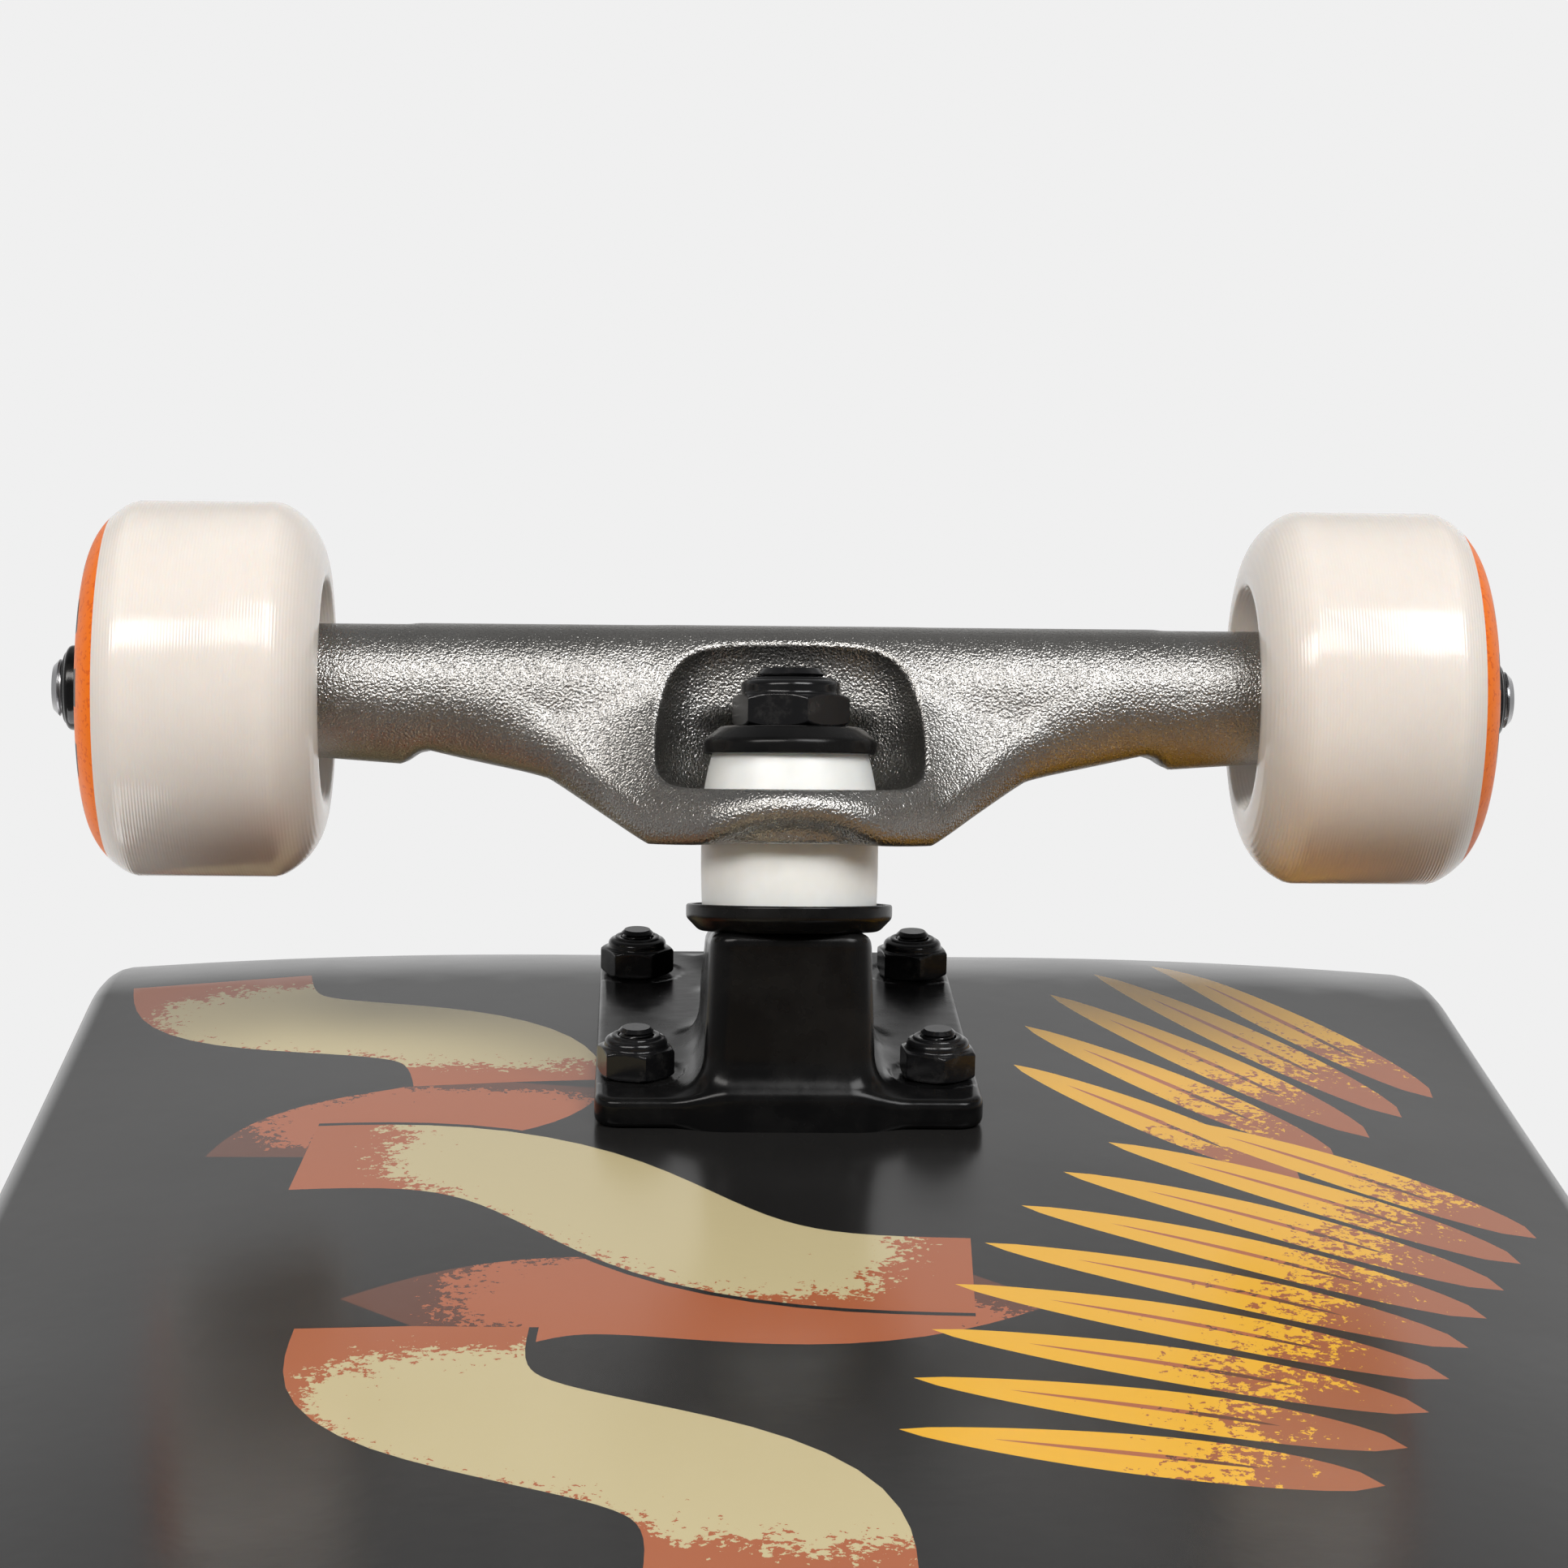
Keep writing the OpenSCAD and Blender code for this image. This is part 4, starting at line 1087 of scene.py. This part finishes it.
def cup_washer(name, r_floor, r_mouth, height):
    """Pressed washer on z = 0: a dished floor and an upright rim with a rolled edge."""
    waist = height * 0.5
    outline = rounded_profile([
        (PIN_R + 0.15, 0, 0.25), (r_floor - 0.2, 0, 1.6), (r_mouth, waist, 1.2),
        (r_mouth, height, 0.4), (r_mouth - 0.9, height, 0.35), (r_mouth - 1.0, waist + 0.5, 0.8),
        (r_floor - CUP_T, CUP_T, 0.8), (PIN_R + 0.15, CUP_T, 0.25)], 5)
    return lathe(name, outline, 96, 40)


def bushing(name, low, high, r_low, r_high, bulge):
    """Urethane bushing: slightly barrelled sides and soft rims."""
    sides = [(r_low + (r_high - r_low) * t + bulge * math.sin(math.pi * t), low + (high - low) * t, 0)
             for t in np.linspace(0.14, 0.86, 9)]
    outline = rounded_profile([(PIN_R + 0.3, low, 0.4), (r_low - 0.1, low, 0.9), *sides,
                               (r_high - 0.1, high, 0.9), (PIN_R + 0.3, high, 0.4)], 5)
    return lathe(name, outline, 96, 50)


def make_trucks():
    plate = cast("baseplate", baseplate_field, (-43, -29, -1.2), (43, 29, 27), 0.62)
    hanger = cast("hanger", hanger_field, (-33, -HANGER_END - 1.2, 2.0),
                  (46, HANGER_END + 1.2, 66.5), 0.66)
    nut = lock_nut("kingpin_nut", 14.3, 4.3, 6.6, PIN_R, 6.8)
    nut_ring = lathe("kingpin_nut_ring", [(4.8, 5.0), (5.9, 5.0), (5.9, 6.35), (4.8, 6.35)], 64)
    pin = screw("kingpin", [(-30.6, PIN_R, 0), (2.0, PIN_R, 0), (19.5, PIN_R, 1),
                            (20.3, PIN_R - 0.8, 0)], 1.05, 0.5, 48)
    head = lathe("kingpin_head", rounded_profile([(0.01, -36, 0), (7.1, -36, 0.6), (7.1, -30.6, 0.3),
                                                  (0.01, -30.6, 0)]), 64)
    low_cup = cup_washer("bottom_washer", 12.4, 14.0, 3.7)
    top_cup = cup_washer("top_washer", 9.7, 11.9, NUT_LOW - 8.65)
    low_bushing = bushing("bottom_bushing", BASE_SEAT + CUP_T, -1.8, 11.75, 12.0, 0.12)
    top_bushing = bushing("top_bushing", 1.8, NUT_LOW - CUP_T, 12.0, 9.9, 0.2)
    cup = lathe("pivot_cup", rounded_profile([
        (0.01, -8, 0), (7.4, -8, 0.4), (7.4, 2, 0.4), (5.0, 2, 0.7), (5.0, -6.4, 0.5),
        (0.01, -6.4, 0)], 4), 64)
    rod = screw("axle", [(-AXLE_HALF, AXLE_R - 0.8, 0), (-AXLE_HALF + 0.8, AXLE_R, 0),
                         (-AXLE_HALF + 12, AXLE_R, 1), (AXLE_HALF - 12, AXLE_R, 0),
                         (AXLE_HALF - 0.8, AXLE_R, 1), (AXLE_HALF, AXLE_R - 0.8, 0)], 1.05, 0.5, 48)
    axle_turn = (Matrix.Translation((AXLE_X * MM, 0, AXLE_H * MM))
                 @ Matrix.Rotation(-math.pi / 2, 4, "X"))
    cup_frame = (Matrix.Translation((PIVOT_X * MM, 0, PIVOT_H * MM))
                 @ Matrix.Rotation(math.pi / 2 - STEER_LEAN, 4, "Y"))

    for end, at in TRUCKS.items():
        king = at @ KINGPIN_FRAME
        over = king @ Matrix.Translation((0, 0, NUT_LOW * MM))
        nut_at = over @ Matrix.Rotation(0.244, 4, "Z")
        over = over @ Matrix.Rotation(math.pi, 4, "X")
        under = king @ Matrix.Translation((0, 0, BASE_SEAT * MM))
        whole = joined(f"{end}_kingpin", [(pin, Matrix()), (head, Matrix())])
        truck = f"{end}_truck"
        place_all(end, (
            ("baseplate_casting", plate, "board", "paint", "black_aluminium", "baseplate", at),
            ("pivot_cup_moulding", cup, "board", "cup", "cup_urethane", "pivot_cup",
             at @ cup_frame),
            ("kingpin_bolt", whole, "board", "black", "black_steel", "kingpin", king),
            ("kingpin_lock_nut", nut, "board", "black", "black_steel", "kingpin_nut", nut_at),
            ("kingpin_nut_insert", nut_ring, "board", "insert", "black_steel", None, nut_at),
            ("bottom_cup_washer", low_cup, "board", "paint", "black_steel", "bottom_washer", under),
            ("top_cup_washer", top_cup, "board", "paint", "black_steel", "top_washer", over),
            ("hanger_casting", hanger, truck, "hanger", "cast_aluminium", "hanger", at),
            ("axle_rod", rod, truck, "steel", "axle_steel", "axle", at @ axle_turn)))
        for level, mesh, start, stop in (("bottom", low_bushing, BASE_SEAT + CUP_T + 1.5, -2.2),
                                         ("top", top_bushing, NUT_LOW - CUP_T - 1.5, 2.2)):
            piece = bpy.data.objects.new(f"{end}_{level}_urethane_bushing", mesh.copy())
            bpy.context.scene.collection.objects.link(piece)
            piece.matrix_world = king
            piece.data.materials.append(MATERIALS["bushing"])
            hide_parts(f"{end}_{level}_bushing")
            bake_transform(piece)


# ---- Wheels ----

spacer_low, spacer_high = box_mm("front_left_spacer")
SPACER_HALF = (spacer_high[1] - spacer_low[1]) / 2
BEARING_W = 7.0
BEARING_OUT = SPACER_HALF + BEARING_W
LIP_R = 16.6
TREAD_HALF = 9.8
WHEEL_SIDES = 144


def wheel_outline():
    """Half section of a wheel, (radius, place along the axle), from tread to bore and back."""
    rise, fall = WHEEL_R - LIP_R, WHEEL_HALF - TREAD_HALF
    round_r = (rise ** 2 + fall ** 2) / (2 * fall)
    start = math.atan2(round_r - fall, rise)
    shoulder = [(LIP_R + round_r * math.cos(a), WHEEL_HALF - round_r + round_r * math.sin(a))
                for a in np.linspace(start, math.pi / 2, 22)[:-1]]
    recess = rounded_profile([
        (LIP_R + 1.2, WHEEL_HALF, 0), (15.9, WHEEL_HALF - 0.1, 0.6), (14.9, WHEEL_HALF - 1.6, 0.5),
        (13.4, BEARING_OUT + 0.7, 0.5), (12.4, BEARING_OUT + 0.3, 0.3), (11, BEARING_OUT + 0.3, 0.25),
        (11, SPACER_HALF, 0.1), (8, SPACER_HALF, 0.2)], 4)
    side = [(WHEEL_R, TREAD_HALF - 0.35)] + shoulder[1:] + recess[1:]
    return side + [(r, -z) for r, z in side[::-1]]


def make_wheel_mesh():
    """Urethane wheel with a plain ring and a row of dashes printed on its outer side."""
    outline = wheel_outline()
    mesh = lathe("wheel", outline, WHEEL_SIDES, 40)
    for name in ("wheel", "ink_orange", "ink_black"):
        mesh.materials.append(MATERIALS[name])
    for face in mesh.polygons:
        x, y, z = face.center / MM
        r = math.hypot(x, y)
        if z > BEARING_OUT + 1 and face.normal.z > 0.5:
            turn = (math.atan2(y, x) / (2 * math.pi) * 12) % 1
            if 18.3 < r < 19.9 and turn < 0.5:
                face.material_index = 2
            elif 17.2 < r < 24.2:
                face.material_index = 1
    return mesh


def make_wheels():
    wheel = make_wheel_mesh()
    shield = lathe("shield", rounded_profile([
        (6.35, -0.2, 0.05), (9.35, -0.2, 0.05), (9.35, 0.2, 0.1), (8.9, 0.2, 0.1), (8.7, 0.05, 0.05),
        (7.0, 0.05, 0.05), (6.8, 0.2, 0.1), (6.35, 0.2, 0.1)], 2), 72, 35)
    washer = lathe("speed_washer", rounded_profile([
        (4.05, -0.45, 0.1), (5.8, -0.45, 0.15), (5.8, 0.45, 0.15), (4.05, 0.45, 0.1)], 2), 64, 35)
    nut = lock_nut("axle_nut", 12.7, 4.8, 7.0, AXLE_R, 5.9)
    nut_ring = lathe("axle_nut_ring", [(4.0, 5.6), (4.9, 5.6), (4.9, 6.75), (4.0, 6.75)], 56)
    for corner, at, side in (("front_left", AT_FRONT, 1), ("front_right", AT_FRONT, -1),
                             ("rear_left", AT_REAR, -1), ("rear_right", AT_REAR, 1)):
        hub = (at @ Matrix.Translation(Vector((AXLE_X, side * WHEEL_Y, AXLE_H)) * MM)
               @ Matrix.Rotation(-side * math.pi / 2, 4, "X"))
        spin = Matrix.Rotation(1.1 * len(corner), 4, "Z")
        nut_at = hub @ Matrix.Translation((0, 0, (BEARING_OUT + 0.9) * MM)) @ spin
        shields = joined("shields", [
            (shield, Matrix.Translation((0, 0, s * (SPACER_HALF + BEARING_W / 2
                                                    + t * (BEARING_W / 2 - 0.4)) * MM))
             @ Matrix.Rotation(0 if s * t > 0 else math.pi, 4, "X"))
            for s in (-1, 1) for t in (-1, 1)])
        washers = joined("washers", [
            (washer, Matrix.Translation((0, 0, s * (BEARING_OUT + 0.45) * MM))) for s in (-1, 1)])
        turning, truck = f"{corner}_wheel", corner.split("_")[0] + "_truck"
        place_all(corner, (
            ("urethane_wheel", wheel, turning, None, "wheel_urethane", "wheel", hub @ spin),
            ("bearing_shields", shields, turning, "seal", "seal_rubber", "shields", hub),
            ("speed_washer_pair", washers, truck, "steel", "axle_steel", "speed_washers", hub),
            ("axle_lock_nut", nut, truck, "black", "black_steel", "axle_nut", nut_at),
            ("axle_nut_insert", nut_ring, truck, "insert", "black_steel", None, nut_at)))


def dress_cad_nodes():
    """Gives the bearings' inner pieces, kept from the CAD, their materials."""
    for name, node in nodes.items():
        for part, material in (("races", "race"), ("balls", "ball"), ("cages", "cage"),
                               ("spacer", "steel")):
            if name.endswith(part) and not node.hide_render:
                node.data.materials.clear()
                node.data.materials.append(MATERIALS[material])


# ---- Studio ----


def soft_light(name, place_at, aim, width, height, power, color=(1, 1, 1)):
    """Rectangular soft box that keeps its width across the board."""
    data = bpy.data.lights.new(name, "AREA")
    data.shape = "RECTANGLE"
    data.size, data.size_y = width, height
    data.energy = power
    data.color = color
    light = bpy.data.objects.new(name, data)
    bpy.context.scene.collection.objects.link(light)
    back = (Vector(place_at) - Vector(aim)).normalized()
    across = Vector((0, 1, 0))
    across = (across - back * across.dot(back)).normalized()
    turn = Matrix((across, back.cross(across), back)).transposed().to_4x4()
    light.matrix_world = Matrix.Translation(place_at) @ turn
    light.visible_camera = False


def make_floor():
    """Pale floor under the wheels that glows evenly, with a painted shadow: ambient occlusion darkens
    it round the wheels and under the board. It shows only from above and fades into the backdrop,
    so that it never hides the underside."""
    n = Nodes("floor")
    # Painted shadow: ambient occlusion dims the floor's even glow round the wheels and under the
    # board.
    shadow_occlusion = n.add("ShaderNodeAmbientOcclusion", {"Distance": 0.16}, samples=8)
    painted_shadow = n.span(shadow_occlusion.outputs["AO"], 0.0, 1.0, 0.30, 1.0)
    cloud = n.span(n.noise(3.0, 3.0), 0.3, 0.7, 0.985, 1.0)
    level = n.math("MULTIPLY", painted_shadow, cloud)
    glow = n.add("ShaderNodeEmission", {"Color": (*BACKDROP, 1), "Strength": level})
    clear = n.add("ShaderNodeBsdfTransparent")
    facing = n.add("ShaderNodeNewGeometry").outputs["Backfacing"]
    far = n.add("ShaderNodeVectorMath", {0: n.where}, operation="LENGTH").outputs["Value"]
    hidden = n.math("MAXIMUM", facing, n.span(far, 0.8, 1.6))
    pick = n.add("ShaderNodeMixShader", {0: hidden, 1: glow.outputs[0], 2: clear.outputs[0]})
    n.tree.nodes.remove(n.shader)
    n.put(n.tree.nodes["Material Output"].inputs["Surface"], pick.outputs[0])
    rim = [(FLOOR_R * math.cos(a), FLOOR_R * math.sin(a), 0)
           for a in np.linspace(0, 2 * math.pi, 96, endpoint=False)]
    mesh = new_mesh("floor", rim, [list(range(len(rim)))])
    mesh.materials.append(n.owner)
    floor = bpy.data.objects.new("floor", mesh)
    bpy.context.scene.collection.objects.link(floor)
    floor.visible_glossy = floor.visible_diffuse = False
    floor.visible_transmission = floor.visible_shadow = False


BACKDROP = (0.871, 0.871, 0.871)
FLOOR_R = 1700.0
ROOM_BEHIND = (0.15, 0.15, 0.15)
ROOM_SIDE = (0.33, 0.33, 0.33)
ROOM_AHEAD = (0.86, 0.86, 0.86)
ROOM_DIM = (0.30, 0.30, 0.30)


def make_world():
    """Even pale backdrop, with a softer, graded room around for light and reflections."""
    n = Nodes("studio", bpy.data.worlds, "Generated")
    split = n.add("ShaderNodeSeparateXYZ", {"Vector": n.where})

    def graded(axis, *stops):
        """Colour by how far a direction points along an axis."""
        share = n.span(split.outputs[axis], -1, 1)
        return n.ramp(share, *[((at + 1) / 2, color) for at, color in stops])

    ahead = graded("X", (-1, ROOM_BEHIND), (0.1, ROOM_SIDE), (0.55, ROOM_AHEAD), (1, ROOM_AHEAD))
    level = graded("Z", (-1, ROOM_DIM), (-0.42, ROOM_DIM), (-0.12, (1, 1, 1)), (0.3, (1, 1, 1)),
                   (1, (1.0, 0.97, 0.93)))
    both = n.add("ShaderNodeVectorMath", {0: ahead, 1: level}, operation="MULTIPLY").outputs[0]
    room = n.add("ShaderNodeBackground", {"Color": both}).outputs[0]
    backdrop = n.add("ShaderNodeBackground", {"Color": (*BACKDROP, 1)}).outputs[0]
    camera_ray = n.add("ShaderNodeLightPath").outputs["Is Camera Ray"]
    pick = n.add("ShaderNodeMixShader", {0: camera_ray, 1: room, 2: backdrop}).outputs[0]
    n.put(n.tree.nodes["World Output"].inputs["Surface"], pick)
    bpy.context.scene.world = n.owner
    bpy.context.scene.view_settings.view_transform = "Standard"


def make_lights():
    """A warm strip and a key on the ground's side, and one light for the top."""
    truck = Vector((FRONT_X, 0, DECK_Z - 50)) * MM
    strip = truck + Vector((-0.72, -0.54, -0.72))
    soft_light("strip", strip, truck + Vector((0, -0.08, 0)), 0.86, 0.30, 7.4, (1.0, 0.975, 0.945))
    key = truck + Vector((-0.72, 0.50, -0.95))
    soft_light("key", key, truck, 0.75, 0.58, 12.0)
    above = truck + Vector((-0.3, -0.4, 1.7))
    soft_light("above", above, truck, 1.6, 1.6, 26.0)


outline = deck_outline()
make_deck(outline)
make_grip(outline)
make_bolts()
make_trucks()
make_wheels()
dress_cad_nodes()
make_floor()
make_world()
make_lights()
